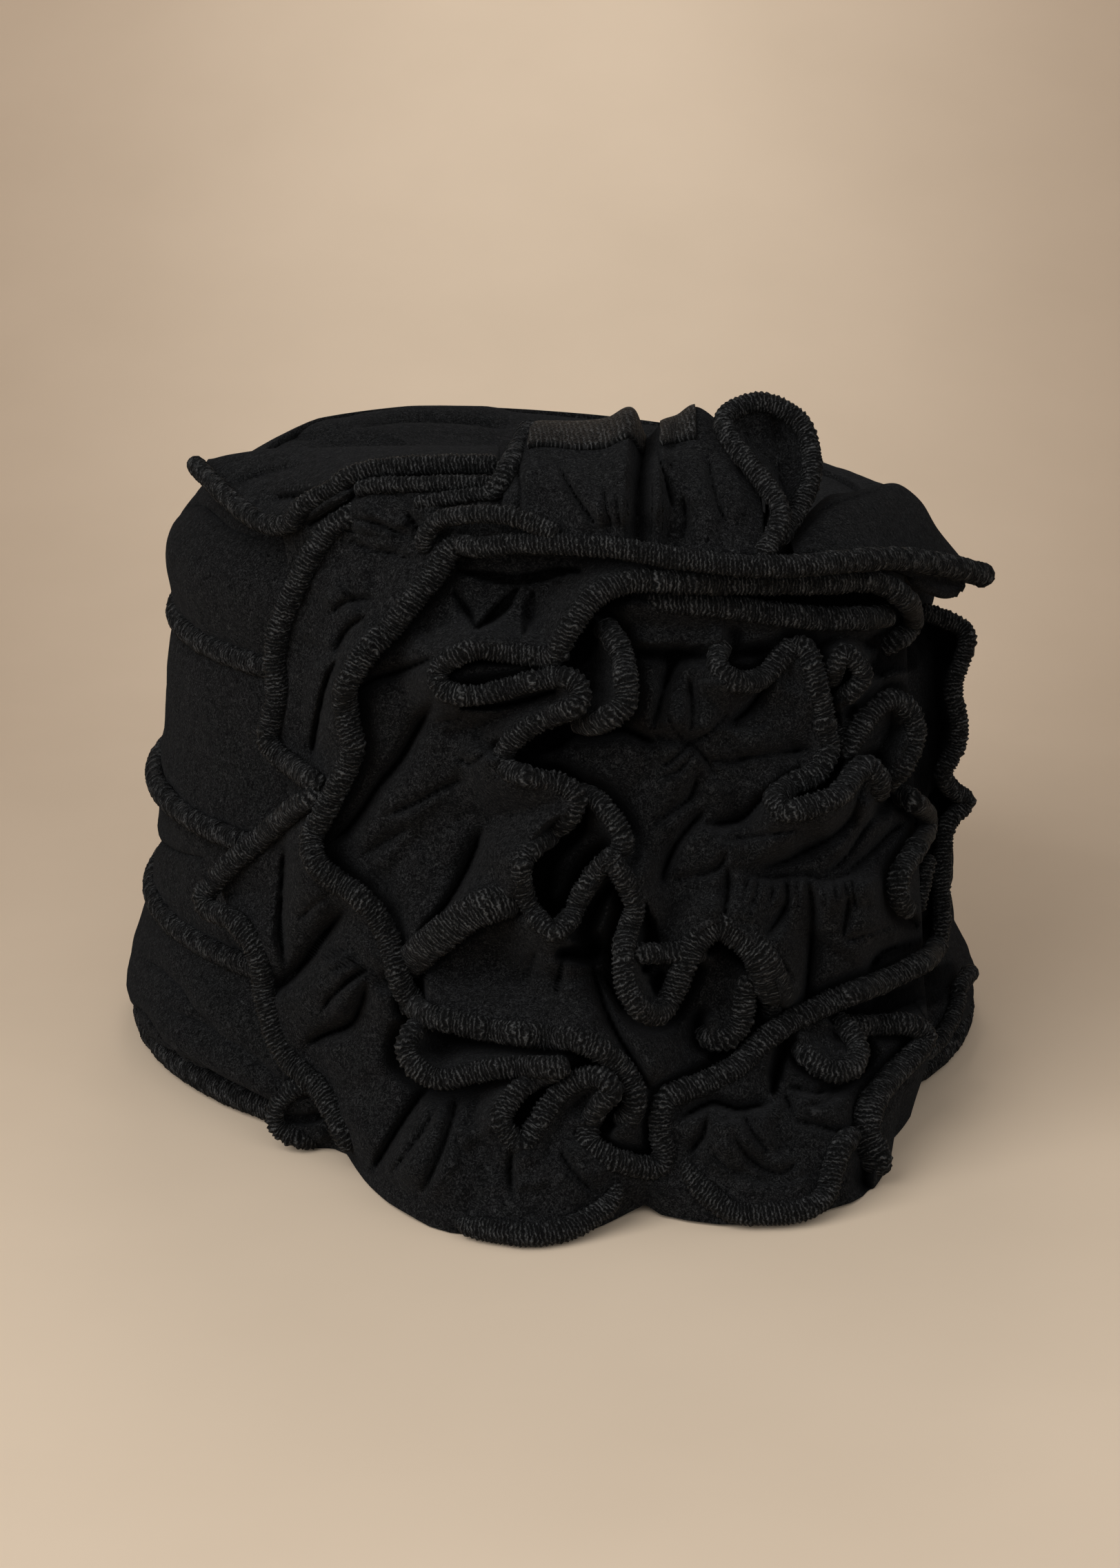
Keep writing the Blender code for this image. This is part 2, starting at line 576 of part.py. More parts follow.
def front_edge(name, rails, cloth):
    """The overlocked edge along a ruffle's front line, just past its cloth."""
    _, crest, front = rails
    along = np.gradient(front, axis=0)
    along /= np.linalg.norm(along, axis=1)[:, None]
    outwards = front - crest
    outwards -= along * (outwards * along).sum(axis=1)[:, None]
    outwards /= np.linalg.norm(outwards, axis=1)[:, None]
    points = smooth_route(front + outwards * (EDGE_RADIUS + GAP + EDGE_SLACK), STATION_STEP)
    edge_roll(name, points, EDGE_RADIUS, cloth)


def crest_edge(name, rails, cloth):
    """The overlocked edge along a ruffle's crest, just above its cloth."""
    points = smooth_route(rails[1] + (0, 0, EDGE_RADIUS + GAP + EDGE_SLACK), STATION_STEP)
    edge_roll(name, points, EDGE_RADIUS, cloth)


def loop_ruffle(cloth):
    """The standing loop: a short funnel of cloth behind its edge."""
    edge = np.array(LOOP_EDGE[1:-1], float)
    inner = edge.copy()
    inner[:, :2] = LOOP_MIDDLE + (edge[:, :2] - LOOP_MIDDLE) * LOOP_INNER_SHARE
    inner[:, 2] -= LOOP_SETBACK
    start = np.array([at_forward(*row) for row in edge])
    end = np.array([at_forward(*row) for row in inner])
    inwards = (end - start) / np.linalg.norm(end - start, axis=1)[:, None]
    front = start + inwards * (EDGE_RADIUS + GAP + LOOP_SLACK)
    grid_object("loop_ruffle", np.stack([front, 0.5 * (front + end), end]), cloth)


def free_edges(cloth, tree):
    """The edge rolls of the top's front lip, of the loop and, laid on the cover's foot, of the lobes."""
    for name, rows, laid in (
        ("edge_long_top", LONG_TOP_EDGE, False),
        ("edge_loop_ruffle", LOOP_EDGE, False),
        ("edge_left_lobe", LEFT_LOBE_EDGE, True),
        ("edge_right_lobe", RIGHT_LOBE_EDGE, True),
    ):
        points = np.array([at_forward(*place) for place in smooth_route(rows, STATION_STEP)])
        edge_roll(name, seated(points, tree) if laid else points, EDGE_RADIUS, cloth)


def build_hat():
    clear_scene()
    bpy.context.scene.collection.children.link(bpy.data.collections.new(COLLECTION))
    fleece = material("black_fleece", CLOTH_COLOUR, 0.95)
    yarn = material("overlock_yarn", EDGE_COLOUR, 0.9)
    tiers(fleece)
    hem_roll(yarn)
    welts(yarn)
    crown_top(fleece)
    tree = cover_tree(front_cover(fleece))
    cover_edges(yarn, tree)
    front_edge("edge_left_ruffle", ruffle("left_ruffle", LEFT_RUFFLE, fleece), yarn)
    crest_edge("edge_top_ruffle", ruffle("top_ruffle", TOP_RUFFLE, fleece), yarn)
    front_edge("edge_side_ruffle", ruffle("side_ruffle", SIDE_RUFFLE, fleece), yarn)
    ruffle("wing_ruffle", WING_RUFFLE, fleece)
    loop_ruffle(fleece)
    free_edges(yarn, tree)


build_hat()
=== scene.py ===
"""Looks for the ruffle hat: black brushed knit, overlocked edges and a plain warm studio.

Tables are in millimetres. Places on the hat's front are given on an upright chart, as across and
up, where the chart stands on the drum's axis square to the camera's middle sight line.
"""

import math

import bpy
import numpy as np
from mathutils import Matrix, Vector, noise


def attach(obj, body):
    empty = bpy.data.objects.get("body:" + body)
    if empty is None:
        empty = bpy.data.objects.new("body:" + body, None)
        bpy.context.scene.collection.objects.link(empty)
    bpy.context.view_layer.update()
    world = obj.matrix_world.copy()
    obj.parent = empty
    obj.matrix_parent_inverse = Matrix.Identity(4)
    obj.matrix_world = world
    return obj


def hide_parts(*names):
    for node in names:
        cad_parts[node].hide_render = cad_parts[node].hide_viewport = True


MM = 0.001

# Camera: its middle sight line passes the axis at this height, tilted down
SIGHT_DISTANCE = 785.0
SIGHT_TILT = math.radians(16.6)
CHART_HEIGHT = 56.0
CAMERA_ACROSS = 1.5
LENS = 74.6
SENSOR = 36.0
CLIP_START = 0.05
EYE = np.array([CAMERA_ACROSS, -math.cos(SIGHT_TILT) * SIGHT_DISTANCE,
                CHART_HEIGHT + math.sin(SIGHT_TILT) * SIGHT_DISTANCE])
RIGHT = np.array([1.0, 0.0, 0.0])
UP = np.array([0.0, math.sin(SIGHT_TILT), math.cos(SIGHT_TILT)])
AWAY = np.array([0.0, math.cos(SIGHT_TILT), -math.sin(SIGHT_TILT)])

# Outside of the drum under the ruffles: height, radius
SHELL = [(0, 99), (12, 101), (30, 97), (60, 94.5), (100, 91.5), (118, 91), (140, 88), (160, 86)]

# Tiers: name, then height and outside radius down the wall, over the shoulder for the top one
TIERS = [
    ("drum_tier_1", [(131.0, 73.5), (130.2, 76.5), (128.6, 79.5), (125.8, 82.6), (122.0, 86.2), (118.5, 88.6),
                     (114, 88.9), (109, 88.2), (106, 87.6), (104, 86.6)]),
    ("drum_tier_2", [(99, 86.6), (96, 88.2), (90, 89.2), (80, 90.0), (72, 90.9), (67, 92.0), (64.6, 91.6)]),
    ("drum_tier_3", [(59.8, 91.0), (57.5, 92.0), (52, 92.7), (45, 93.4), (39.5, 94.4), (36.6, 93.8)]),
    ("drum_tier_4", [(31.8, 94.2), (28.5, 96.2), (23, 98.6), (16, 100.9), (11.5, 101.6), (8.2, 100.2)]),
]

# The right side of the lowest tier is drawn in: angle, spread in degrees, height, spread, depth
TUCK = (84.0, 24.0, 20.0, 9.0, 4.2)
TIER_WALL = 2.0
RING_STEPS = 300

# Seam rolls between the tiers: name, height, radius of the centre line, last angle at the left
WELTS = [("welt_1", 101.5, 88.9, -36), ("welt_2", 62.2, 95.2, -39), ("welt_3", 34.2, 96.8, -36)]
WELT_START = 94.0
WELT_RADIUS = 2.5
WELT_TAPER = 9.0

# Hem: height and radius of its centre line, and the roll's radius
HEM_HEIGHT = 3.5
HEM_RADIUS = 99.6
HEM_ROLL = 3.0

# Crown: radius, height from the middle out, over the top of the first tier
CROWN = [(0, 126.5), (20, 127.0), (40, 128.9), (53, 131.2), (61, 132.2), (66, 132.4), (71, 132.2),
         (74.5, 131.5), (77.8, 129.5)]

# The crown sags to the right: angle from the front, rise of its rim
CROWN_RISE = [(-180, 0.8), (-150, 4.0), (-128, 4.2), (-105, -0.5), (-70, 0.5), (-40, 0.5), (0, -1.0),
              (60, -4.5), (90, -6.5), (120, -6.5), (150, -2.0), (180, 0.8)]

# Stand-off of the front cloth before its edges and folds: angle, then one for each height
BASE_HEIGHTS = [25, 50, 80, 110, 137]
BASE = [
    (-50, (5, 4, 3, 3, 3)),
    (-36, (7, 8, 7, 6, 6)),
    (-20, (15, 13, 12, 11, 9)),
    (0, (22, 17, 15, 13, 12)),
    (20, (23, 18, 16, 14, 13)),
    (40, (18, 16, 15, 13, 12)),
    (50, (11, 11, 10, 9, 8)),
    (56, (3, 3, 3, 3, 3)),
    (80, (2, 2, 2, 2, 2)),
]

# Line of the cloth on the floor, on the chart, from left to right
FLOOR_LINE = [
    (-69, -84), (-66, -87), (-60, -88.5), (-53, -88.5), (-50, -90), (-47, -94.5), (-44, -98), (-40, -101.5),
    (-35, -104.5), (-30, -107.3), (-25, -108.8), (-20, -109.3), (-10, -111), (-4, -111.4), (4, -110),
    (12, -107), (18, -104), (22, -102), (26, -104.5), (32, -105.8), (40, -106.8), (50, -106.8),
    (60, -105.5), (67, -103), (72, -101.5), (77, -98.5), (80, -94), (82, -86), (88, -76),
]
LOBE_HEIGHT = 30.0

# Sides of the front cloth: a chart place and the stand-off there, from the top down
LEFT_SIDE = [
    (-43, 69, 9), (-48, 66, 9), (-53, 63, 9), (-57, 58, 8.5), (-60.5, 52, 8.5), (-63.5, 45, 8.5),
    (-66.5, 38, 8.5), (-68, 30, 8.5), (-67.5, 20, 8.5), (-69, 12, 8.5), (-66.5, 5, 8.5), (-64, -3, 9),
    (-66, -8, 9), (-71, -13, 9), (-77, -18, 9), (-82, -23, 9), (-84.5, -27, 9), (-83.5, -30, 9),
    (-79, -32.5, 9), (-75, -36, 9), (-72, -41, 9), (-71, -47, 9), (-70, -53, 9), (-68, -60, 9),
    (-66, -66, 9), (-65, -72, 9), (-67, -77, 10), (-68.5, -81, 12), (-69, -84, 14),
]
RIGHT_ANGLES = [(0, 47), (10, 50), (22, 54), (60, 55.5), (107, 55), (120, 53), (134, 50)]

# Overlocked edges over the front cloth: name, side of its cloth, reach of that cloth, stand-off at the start
# and end, depth of the gap on the open side, width or the widths at start and end, route
EDGES = [
    ("edge_left_outer", "left", 9, 8.5, 9.5, 1, 4.6,
     [(-44, 67), (-48, 65), (-53, 62), (-57, 57), (-60, 52), (-63, 45), (-66, 38), (-67, 30),
      (-66.5, 22), (-68, 14), (-69, 11), (-66, 7), (-62, 4), (-58, 1), (-54, -1)]),
    ("edge_left_lower", "left", 10, 9.5, 11, 1, 4.8,
     [(-54.5, -1.5), (-58, -3.5), (-62, -6), (-66, -9.5), (-70.5, -13.5), (-76, -18), (-81, -23),
      (-84, -27), (-83, -30), (-78, -32), (-74, -36), (-71, -41), (-70, -47), (-69, -53), (-67, -60),
      (-64, -66), (-60, -70), (-56, -74), (-53, -79), (-50, -85), (-48, -88)]),
    ("edge_left_inner", "right", 12, 17, 21, 4, 4.9,
     [(-23, 58.5), (-26, 56), (-30, 50), (-35, 44), (-40, 38), (-45, 33), (-49, 27), (-51, 22), (-50, 14),
      (-49, 8), (-52, 1), (-56, -7), (-59, -13), (-58, -19), (-54, -23), (-48, -27), (-44, -31),
      (-41, -36), (-39, -42), (-38, -46.5), (-36.5, -50), (-34, -53)]),
    ("edge_low_band", "left", 16, 28, 35, 10, 4.9,
     [(-34, -53), (-30.8, -55.2), (-26.5, -56.6), (-15, -59), (-3, -60.5), (6, -61.5), (13, -65),
      (18, -70), (20, -75), (19, -80), (15, -83)]),
    ("edge_side_band", "left", 12, 22, 27, 7, 7.0,
     [(-37.5, -45), (-34, -41.5), (-30, -38), (-25, -34), (-19, -30), (-13, -28), (-8, -27)]),
    ("edge_upper_hook", "left", 10, 28, 21, 8.5, 4.6,
     [(-3, 31), (0, 31.5), (2, 35), (5, 40), (9, 45), (14, 48), (20, 49.5), (35, 49), (50, 49),
      (65, 49), (75, 49.5), (80, 48.5), (84, 46), (87, 42), (86, 37), (82, 34), (78, 32.5)]),
    ("edge_front_loop", "right", 10, 27, 29, 3.5, 4.2,
     [(-3, 31), (-10, 32), (-18, 33), (-24, 31), (-28, 28), (-28, 24), (-25, 21.5), (-19, 21),
      (-12, 22.5), (-5, 24.5), (2, 25.5), (6, 23), (5, 19), (0, 17), (-6, 14), (-11, 10), (-13, 6)]),
    ("edge_front_bend", "right", 14, 29, 31, 13, 4.2,
     [(-13, 6), (-11, 3), (-5, 1), (1, 0), (5, -3), (4, -7), (0, -11), (-5, -15), (-8, -19), (-8, -25),
      (-6, -30), (-3, -34), (0, -36), (4, -33), (7, -27), (10, -22), (14, -18)]),
    ("edge_front_drop", "left", 12, 31, 29, 11.5, (4.3, 7.8),
     [(14, -18), (18, -24), (20, -30), (18, -36), (17, -43), (18, -49), (21, -54), (25, -55),
      (28, -51), (31, -44), (33, -39), (37, -35), (41, -34), (46, -37), (50, -41), (53, -47), (55, -53)]),
    ("edge_branch", "right", 8, 27, 29, 7, 4.2, [(5, -2), (9, -3.5), (12, -6), (16, -12), (16, -18)]),
    ("edge_upper_flap", "right", 9, 20.5, 18.5, 4, 4.8,
     [(19, 45), (25, 43.8), (32, 43.5), (45, 42), (55, 40.5), (65, 39.5), (76, 39.7), (82, 40.5)]),
    ("edge_short_drop", "right", 8, 23, 27.5, 7, 4.8,
     [(11, 39), (14, 35), (16, 31), (17, 25), (17, 20), (14, 17), (9, 15), (5, 16)]),
    ("edge_right_curl", "right", 8, 20.5, 20.5, 5.5, 4.4,
     [(41, 35), (39.5, 32), (39.5, 28), (43.5, 24.5), (49.5, 24.8), (54, 29), (58, 33)]),
    ("edge_right_drop", "right", 10, 22, 25, 8.5, 4.8,
     [(58, 33), (60.8, 31.5), (62.5, 26.5), (64, 20), (65, 14), (65.7, 8), (63, 3), (57, 0), (53, -3.5),
      (56, -7), (63, -5.5), (69, -3), (73, 2), (75.5, 4), (78, 1), (77.5, -4)]),
    ("edge_right_knot", "left", 6, 26, 26, 7, 4.0,
     [(66, 24), (68, 29), (70, 32), (73, 30), (75, 26), (72, 22), (68, 20)]),
    ("edge_right_loop", "right", 8, 22, 22, 8.5, 4.4,
     [(70, 16), (70, 10), (71, 8), (74, 13), (78, 18), (82, 20), (86, 17), (87, 12), (85, 6), (82, 2),
      (79, 0)]),
    ("edge_right_hook", "left", 7, 20, 20, 7, 4.6,
     [(82, -2), (86, -3), (90, -7), (90, -12), (87, -17), (84, -22), (84, -28), (87, -31)]),
    ("edge_long_sweep", "left", 16, 17, 35, 10, 4.8,
     [(93, -39), (90.5, -42.5), (86, -45), (80, -48), (72, -51), (65, -54), (57, -58), (50, -63),
      (45, -68), (38, -72), (30, -75), (27, -77), (26, -83), (27, -90), (24, -93), (17, -92),
      (12, -90), (8, -87), (8, -82)]),
    ("edge_low_loop", "left", 8, 36, 37, 8.5, 4.4,
     [(8, -82), (11, -77), (14, -74), (10, -71), (4, -73), (-1, -78), (-4, -83), (-8, -87), (-12, -84),
      (-13, -80), (-10, -75), (-5, -71), (2, -68)]),
    ("edge_low_left", "right", 8, 33, 32, 7, 4.4,
     [(2, -68), (-10, -68), (-20, -69.5), (-28, -71), (-34, -67), (-35, -62), (-31, -57)]),
    ("edge_small_curl", "left", 6, 25, 25, 7, 4.6,
     [(37, -58), (38, -61), (42, -61), (45, -57), (46, -50), (48, -47), (52, -49), (53, -54), (51, -57)]),
    ("edge_low_curl", "left", 7, 26, 26, 7, 4.6,
     [(59, -62), (62, -66), (67, -69), (72, -68), (73, -63), (70, -59), (67, -57)]),
    ("edge_low_right", "left", 9, 19, 24, 7, (4.6, 8.0),
     [(70, -58), (76, -58), (84, -57.5), (89, -59), (90, -62), (86, -67), (81, -72), (77, -78),
      (76, -84), (78, -90), (77, -95)]),
    ("edge_small_lobe", "left", 5, 9, 9, 1, 4.0,
     [(-56, -73), (-61, -73.5), (-64.7, -75.5), (-67, -79.5), (-66.5, -82.5), (-63, -85.0), (-56.5, -86.0)]),
    ("edge_stub", "right", 4, 30, 30, 1, 4.2, [(17, -41.5), (24, -41.3), (31, -41.2), (36, -41)]),
]

# Those of them that stand in for no solid
ADDED_EDGES = ["edge_branch", "edge_small_lobe", "edge_stub"]

# Folded cloth edges with no roll: side of the cloth, reach, stand-off at start and end, gap depth, route
LAPS = [
    ("left", 9, 18, 16, 6, [(22, 34), (35, 33.5), (45, 34), (60, 36), (76, 37)]),
    ("right", 8, 23, 25, 2, [(-25, 26.5), (-21, 28.2), (-15, 29.2), (-8, 29.4), (-4, 28.6)]),
]

# Places where an edge of the front cloth runs on into the roll of a free ruffle: across, up, forward
RUN_ON = [(93, -39, 54.0), (-23, 58.5, 103.0)]

# Edges that lie on the drum beside the front cloth: name, stand-off, width, chart route
DRUM_EDGES = [
    ("edge_right_tuck", 5.0, 4.4, [(101, -45), (98, -49), (97.5, -53), (95.5, -58), (92, -63), (88, -66)]),
    ("edge_right_strand", 14.0, 3.6, [(91, -17), (90, -21), (89, -26), (88, -31)]),
]

# Creases of the front cloth: depth, half width, route
CREASES = [
    (6, 1.2, [(-52, 31), (-55, 24), (-57, 15), (-58.5, 6)]),
    (6, 1.5, [(-49, 21), (-44, 25), (-38, 27), (-34, 28.5), (-28, 31)]),
    (8, 2.0, [(-29, 20), (-33, 13), (-37, 6), (-42, 0), (-46, -6), (-50, -11), (-55, -15)]),
    (3, 1.0, [(-21, 1.5), (-27, -1), (-33, -4.5), (-41, -8)]),
    (3, 2.5, [(-34, -10), (-41, -14), (-46, -17.5)]),
    (7, 2.0, [(-17, -10), (-20, -18), (-24, -26), (-29, -33), (-34, -38)]),
    (6, 1.5, [(-65, -14), (-65.5, -24), (-66, -35), (-65, -44)]),
    (8, 2.5, [(-50, -30), (-55, -36), (-60, -43), (-65, -48), (-71, -50)]),
    (2, 1.2, [(-55, -27), (-62, -33)]),
    (4, 1.2, [(-44, -44), (-50, -48), (-54, -52), (-56, -55)]),
    (7, 2.0, [(-45, -47), (-46.5, -53), (-49, -58), (-55, -60.5), (-60, -63)]),
    (7, 2.5, [(-30, -73), (-34, -78), (-38, -84), (-41, -89), (-44, -94)]),
    (3, 1.2, [(-54, 41), (-50, 44), (-43, 45)]),
    (4, 1.5, [(-53, 31), (-50, 37), (-45, 41)]),
    (2.5, 0.8, [(-43, 63), (-36, 61)]),
    (2.5, 0.8, [(-50, 59), (-45, 57), (-38, 55.5), (-33, 53.5)]),
    (2.5, 0.8, [(-29, 15), (-24, 15.5), (-21, 17)]),
    (2.5, 0.8, [(-24, 7), (-20, 5), (-16, 8)]),
    (2, 1.6, [(-4, -40), (-6, -45), (-8, -48)]),
    (4, 0.8, [(2, -42), (1.5, -46), (0.5, -51)]),
    (8, 1.8, [(9, -42), (11, -50), (14, -58), (18, -65), (22, -72), (24, -76)]),
    (5, 1.3, [(11, -44), (14, -50), (17, -56)]),
    (5, 1.5, [(-23, -75), (-25, -82), (-27, -88), (-30, -95), (-32, -99)]),
    (3, 1.0, [(-28, -77), (-31, -83), (-36, -90), (-40, -95)]),
    (2, 1.2, [(-18, -76), (-20, -82)]),
    (2, 1.2, [(-24, -83), (-23, -88), (-21, -90)]),
    (4, 1.2, [(-10, -88), (-10.5, -94), (-10, -99)]),
    (3, 1.0, [(1, -88), (5, -94), (10, -99)]),
    (8, 2.5, [(30, 33), (27, 24), (25, 17), (24, 13)]),
    (5, 1.5, [(33, 26), (33.5, 18), (33, 12)]),
    (4, 1.5, [(24, 12), (30, 10), (34, 9.5)]),
    (8, 2.0, [(0, 13), (8, 13.5), (17, 13), (22, 11), (26, 9.5)]),
    (7, 2.0, [(54, 28), (50, 22), (46, 17), (41, 14)]),
    (2.5, 0.8, [(41, 14), (48, 14), (52, 15)]),
    (4, 1.2, [(36, 6), (42, 5.5), (50, 7), (58, 8), (63, 9)]),
    (7, 2.0, [(61, 5), (55, 0), (50, -4), (46, -8), (41, -9.5), (35, -10)]),
    (2.5, 0.8, [(34, 8), (30, 3), (25, 1.5)]),
    (4, 1.4, [(35, 3), (33, -3), (28, -7), (24, -10)]),
    (7, 2.2, [(37, -6), (33, -10), (30, -14), (27, -20), (26, -25)]),
    (2.5, 0.8, [(60, -11), (50, -12.5), (40, -13.5)]),
    (4, 1.5, [(42, -16), (40, -20), (36, -22), (28, -23)]),
    (8, 2.5, [(48, -20.5), (55, -19), (60, -16.5), (67, -13), (72, -8), (74, -3)]),
    (6, 1.5, [(66, -22), (71, -17), (75, -11), (79, -6)]),
    (8, 2.5, [(70, -22), (76, -17), (81, -12), (85, -9)]),
    (4, 1.2, [(45, -21), (52, -22.5), (60, -22), (66, -23), (74, -21)]),
    (5, 1.2, [(42, -20), (42, -26), (41, -33)]),
    (6, 1.5, [(56, -22), (56.5, -28), (54, -33), (51, -37)]),
    (8, 2.5, [(61, -22), (62.5, -30), (62, -40), (61, -50), (59, -56)]),
    (5, 1.2, [(70, -23), (71, -29), (70, -37)]),
    (4, 1.0, [(72, -23), (73, -30)]),
    (2.5, 0.8, [(70, -38), (77, -36), (83, -34)]),
    (4, 1.4, [(81, -22), (84, -30), (88, -35)]),
    (8, 3.0, [(75, -46), (79, -41), (85, -39), (90, -38)]),
    (2.5, 0.8, [(51, -38), (55, -43), (58, -48)]),
    (7, 1.6, [(52, -77), (45, -78.5), (38, -77), (30, -81)]),
    (5, 1.5, [(37, -80), (36, -85), (33, -89)]),
    (4, 1.4, [(46, -79), (48, -84), (51, -88), (52, -89.5)]),
    (4, 1.5, [(43, -84), (46, -89), (50, -92.5), (55, -94), (59, -91)]),
    (2, 1.2, [(37, -87), (41, -92), (48, -95), (55, -96), (63, -94)]),
    (4, 1.4, [(56, -75), (58, -80)]),
    (4, 1.4, [(58, -81), (70, -84), (74, -84)]),
    (7, 1.8, [(57, -73), (63, -74.5), (70, -73), (75, -69), (77, -66)]),
    (2.5, 0.8, [(60, -78), (68, -75.5)]),
    (2.5, 0.6, [(47, -22), (46.5, -25), (46, -28)]),
    (2.5, 0.6, [(49.5, -22), (49, -26), (47.5, -30)]),
    (2.5, 0.6, [(53, -22.5), (53, -25.5), (52, -29)]),
    (2.5, 0.6, [(58.5, -22), (59, -26), (59, -30)]),
    (2.5, 0.6, [(64.5, -22.5), (65.5, -26), (66, -31)]),
    (2.5, 0.6, [(67.5, -22.5), (68, -26), (68.5, -29)]),
    (3, 0.8, [(33, 10), (37, 12), (42, 17)]),
    (3, 0.8, [(33, 10), (30, 12), (27, 17)]),
    (3, 0.8, [(33, 10), (29, 6), (26, 4)]),
    (3, 0.8, [(33, 10), (36, 7), (39, 2)]),
    (2.5, 0.7, [(-47, -42), (-51, -44), (-55, -46)]),
    (2.5, 0.7, [(-46, -45), (-49, -47), (-52, -50)]),
    (2.5, 0.7, [(-49, -40), (-53, -41), (-57, -44)]),
]

# Creases of the free ruffles
RUFFLE_CREASES = {
    "top_ruffle_cloth": [
        (3, 0.9, [(1, 77), (5, 70), (11, 61.5)]),
        (2.5, 0.8, [(15, 70), (16, 62)]),
        (3, 1.0, [(12, 71), (14, 61.5)]),
        (6, 1.4, [(22, 82), (20.5, 72), (20, 62)]),
        (5, 1.3, [(25, 81), (27, 73), (29, 66)]),
        (3, 1.0, [(31, 70), (32, 64), (31, 59)]),
        (2.5, 0.9, [(37, 80), (39, 70), (42, 62)]),
        (2, 1.0, [(-9, 78), (-8, 70), (-9, 63)]),
    ],
    "left_ruffle_cloth": [
        (5, 1.2, [(-68, 68.5), (-66, 69), (-60, 70), (-54, 71.5), (-51, 73)]),
        (2.5, 1.5, [(-78, 72), (-70, 75), (-60, 77)]),
        (2, 1.2, [(-44, 77), (-38, 79), (-30, 79)]),
    ],
    "yoke_cloth": [
        (5, 1.5, [(-60, 62), (-55, 65), (-50, 68), (-47, 71)]),
        (3, 0.9, [(-48, 64), (-43, 63), (-36, 60)]),
        (3, 0.9, [(-50, 61), (-45, 58.5), (-38, 56.5)]),
        (3, 1.0, [(-36, 66), (-33, 62), (-31, 58)]),
    ],
    "wing_ruffle_cloth": [
        (1.6, 1.4, [(55, 56), (60, 61), (65, 66), (72, 69), (82, 71.5)]),
        (2.5, 2.5, [(80, 51), (86, 50), (93, 48.5), (102, 47)]),
    ],
    "side_ruffle_cloth": [],
}

# Creases of the crown
CROWN_CREASES = [
    (2.4, 1.6, [(-50, 86.5), (-37, 88.5), (-20, 88), (-10, 86)]),
    (1.6, 2.0, [(-72, 80), (-64, 84), (-56, 84)]),
]

# Sags in the cloth of the drum
DRUM_CREASES = [
    (3.0, 1.3, [(-90, -54), (-84, -57), (-76, -61.5), (-70, -65), (-62, -71), (-56, -74)]),
    (3.4, 1.2, [(-101, -52), (-96, -55), (-90, -62), (-80, -68), (-66, -75), (-58, -79)]),
    (1.6, 2.0, [(-98, -42), (-92, -46), (-85, -53), (-78, -58)]),
    (1.4, 2.4, [(-96, -12), (-90, -16), (-82, -18)]),
    (1.2, 3.0, [(-92, 64), (-84, 66), (-76, 60), (-68, 58)]),
    (1.6, 1.6, [(88, -50), (94, -49), (101, -46)]),
    (1.6, 1.6, [(84, -66), (92, -60), (100, -55)]),
]

# Hollows between layers, dark from their depth and from painted shade: depth, half width, route
HOLLOWS = [
    (4, 1.3, [(-64.5, -80.5), (-60, -81), (-55, -80)]),
    (10, 3.4, [(95, 32), (92, 22), (90.5, 12), (91, 3)]),
    (12, 4.0, [(68, -56), (78, -53.5), (88, -49), (95, -44)]),
    (9, 1.8, [(-33, -44), (-33, -52), (-33, -58)]),
    (8, 1.8, [(56, -60), (54, -68), (53, -74)]),
    (6, 1.8, [(38, -66), (46, -62)]),
    (12, 5.0, [(78, 28), (86, 36), (92, 42)]),
    (9, 2.6, [(88, 14), (89, 8), (86, 1), (84, -5)]),
    (8, 1.4, [(50, 45.5), (60, 44), (72, 44), (78, 45)]),
    (3, 0.9, [(-20, 29.8), (-12, 29.6), (0, 29.0)]),
    (5, 1.2, [(-22, 18.5), (-12, 19.5), (0, 22.5)]),
    (9, 2.6, [(9, 38), (7, 33), (4, 29)]),
    (8, 2.4, [(-8, 8), (-2, 10), (4, 12)]),
    (12, 3.4, [(7, -5), (5, -10), (0, -14), (-3, -20), (-3, -27), (0, -31)]),
    (12, 3.0, [(13, -25), (9, -30), (7, -36), (9, -40), (2, -41)]),
    (8, 1.8, [(22, -30), (23, -38), (22, -45)]),
    (8, 1.8, [(66, 17), (67, 10), (68, 4)]),
    (8, 2.2, [(26, -46), (25, -50)]),
    (7, 1.3, [(-23, 51.5), (-17, 50.5), (-11, 49.4), (-5, 49.8), (1, 51.2), (6, 51.5)]),
    (6, 1.3, [(-9, 47), (-13, 42), (-18, 38)]),
    (3, 1.0, [(-24, 46), (-21, 42), (-19, 38)]),
    (2, 1.6, [(-5, 46), (-6, 40), (-7, 37)]),
]

# Backdrop: a floor that starts to curve up behind the hat, the curve's radius, turn in degrees and steps,
# then the floor's front end, how far the wall and the sides reach, and the columns of points across
SWEEP_START = 260.0
SWEEP_RADIUS = 900.0
SWEEP_TURN = 84.0
SWEEP_STEPS = 60
SWEEP_FRONT = -1600.0
SWEEP_RISE = 1500.0
SWEEP_SIDE = 1500.0
SWEEP_COLUMNS = 9

# Lights: name, place, aim and size in metres, power in watts, colour
LIGHTS = [
    ("key", (-0.80, -0.95, 0.90), (0.0, 0.0, 0.05), (1.2, 1.2), 18.0, (0.97, 0.99, 1.0)),
    ("fill", (0.55, -1.3, 0.75), (0.0, 0.0, 0.05), (1.4, 1.2), 7.5, (0.97, 0.99, 1.0)),
    ("top", (0.0, 0.85, 1.05), (0.0, 1.1, 0.2), (0.3, 0.3), 2.6, (1.0, 0.99, 0.98)),
]
ROOM_COLOUR = (0.97, 0.985, 1.0, 1.0)
ROOM_STRENGTH = 0.36
SHEEN_TINT = (0.85, 0.85, 0.87, 1.0)

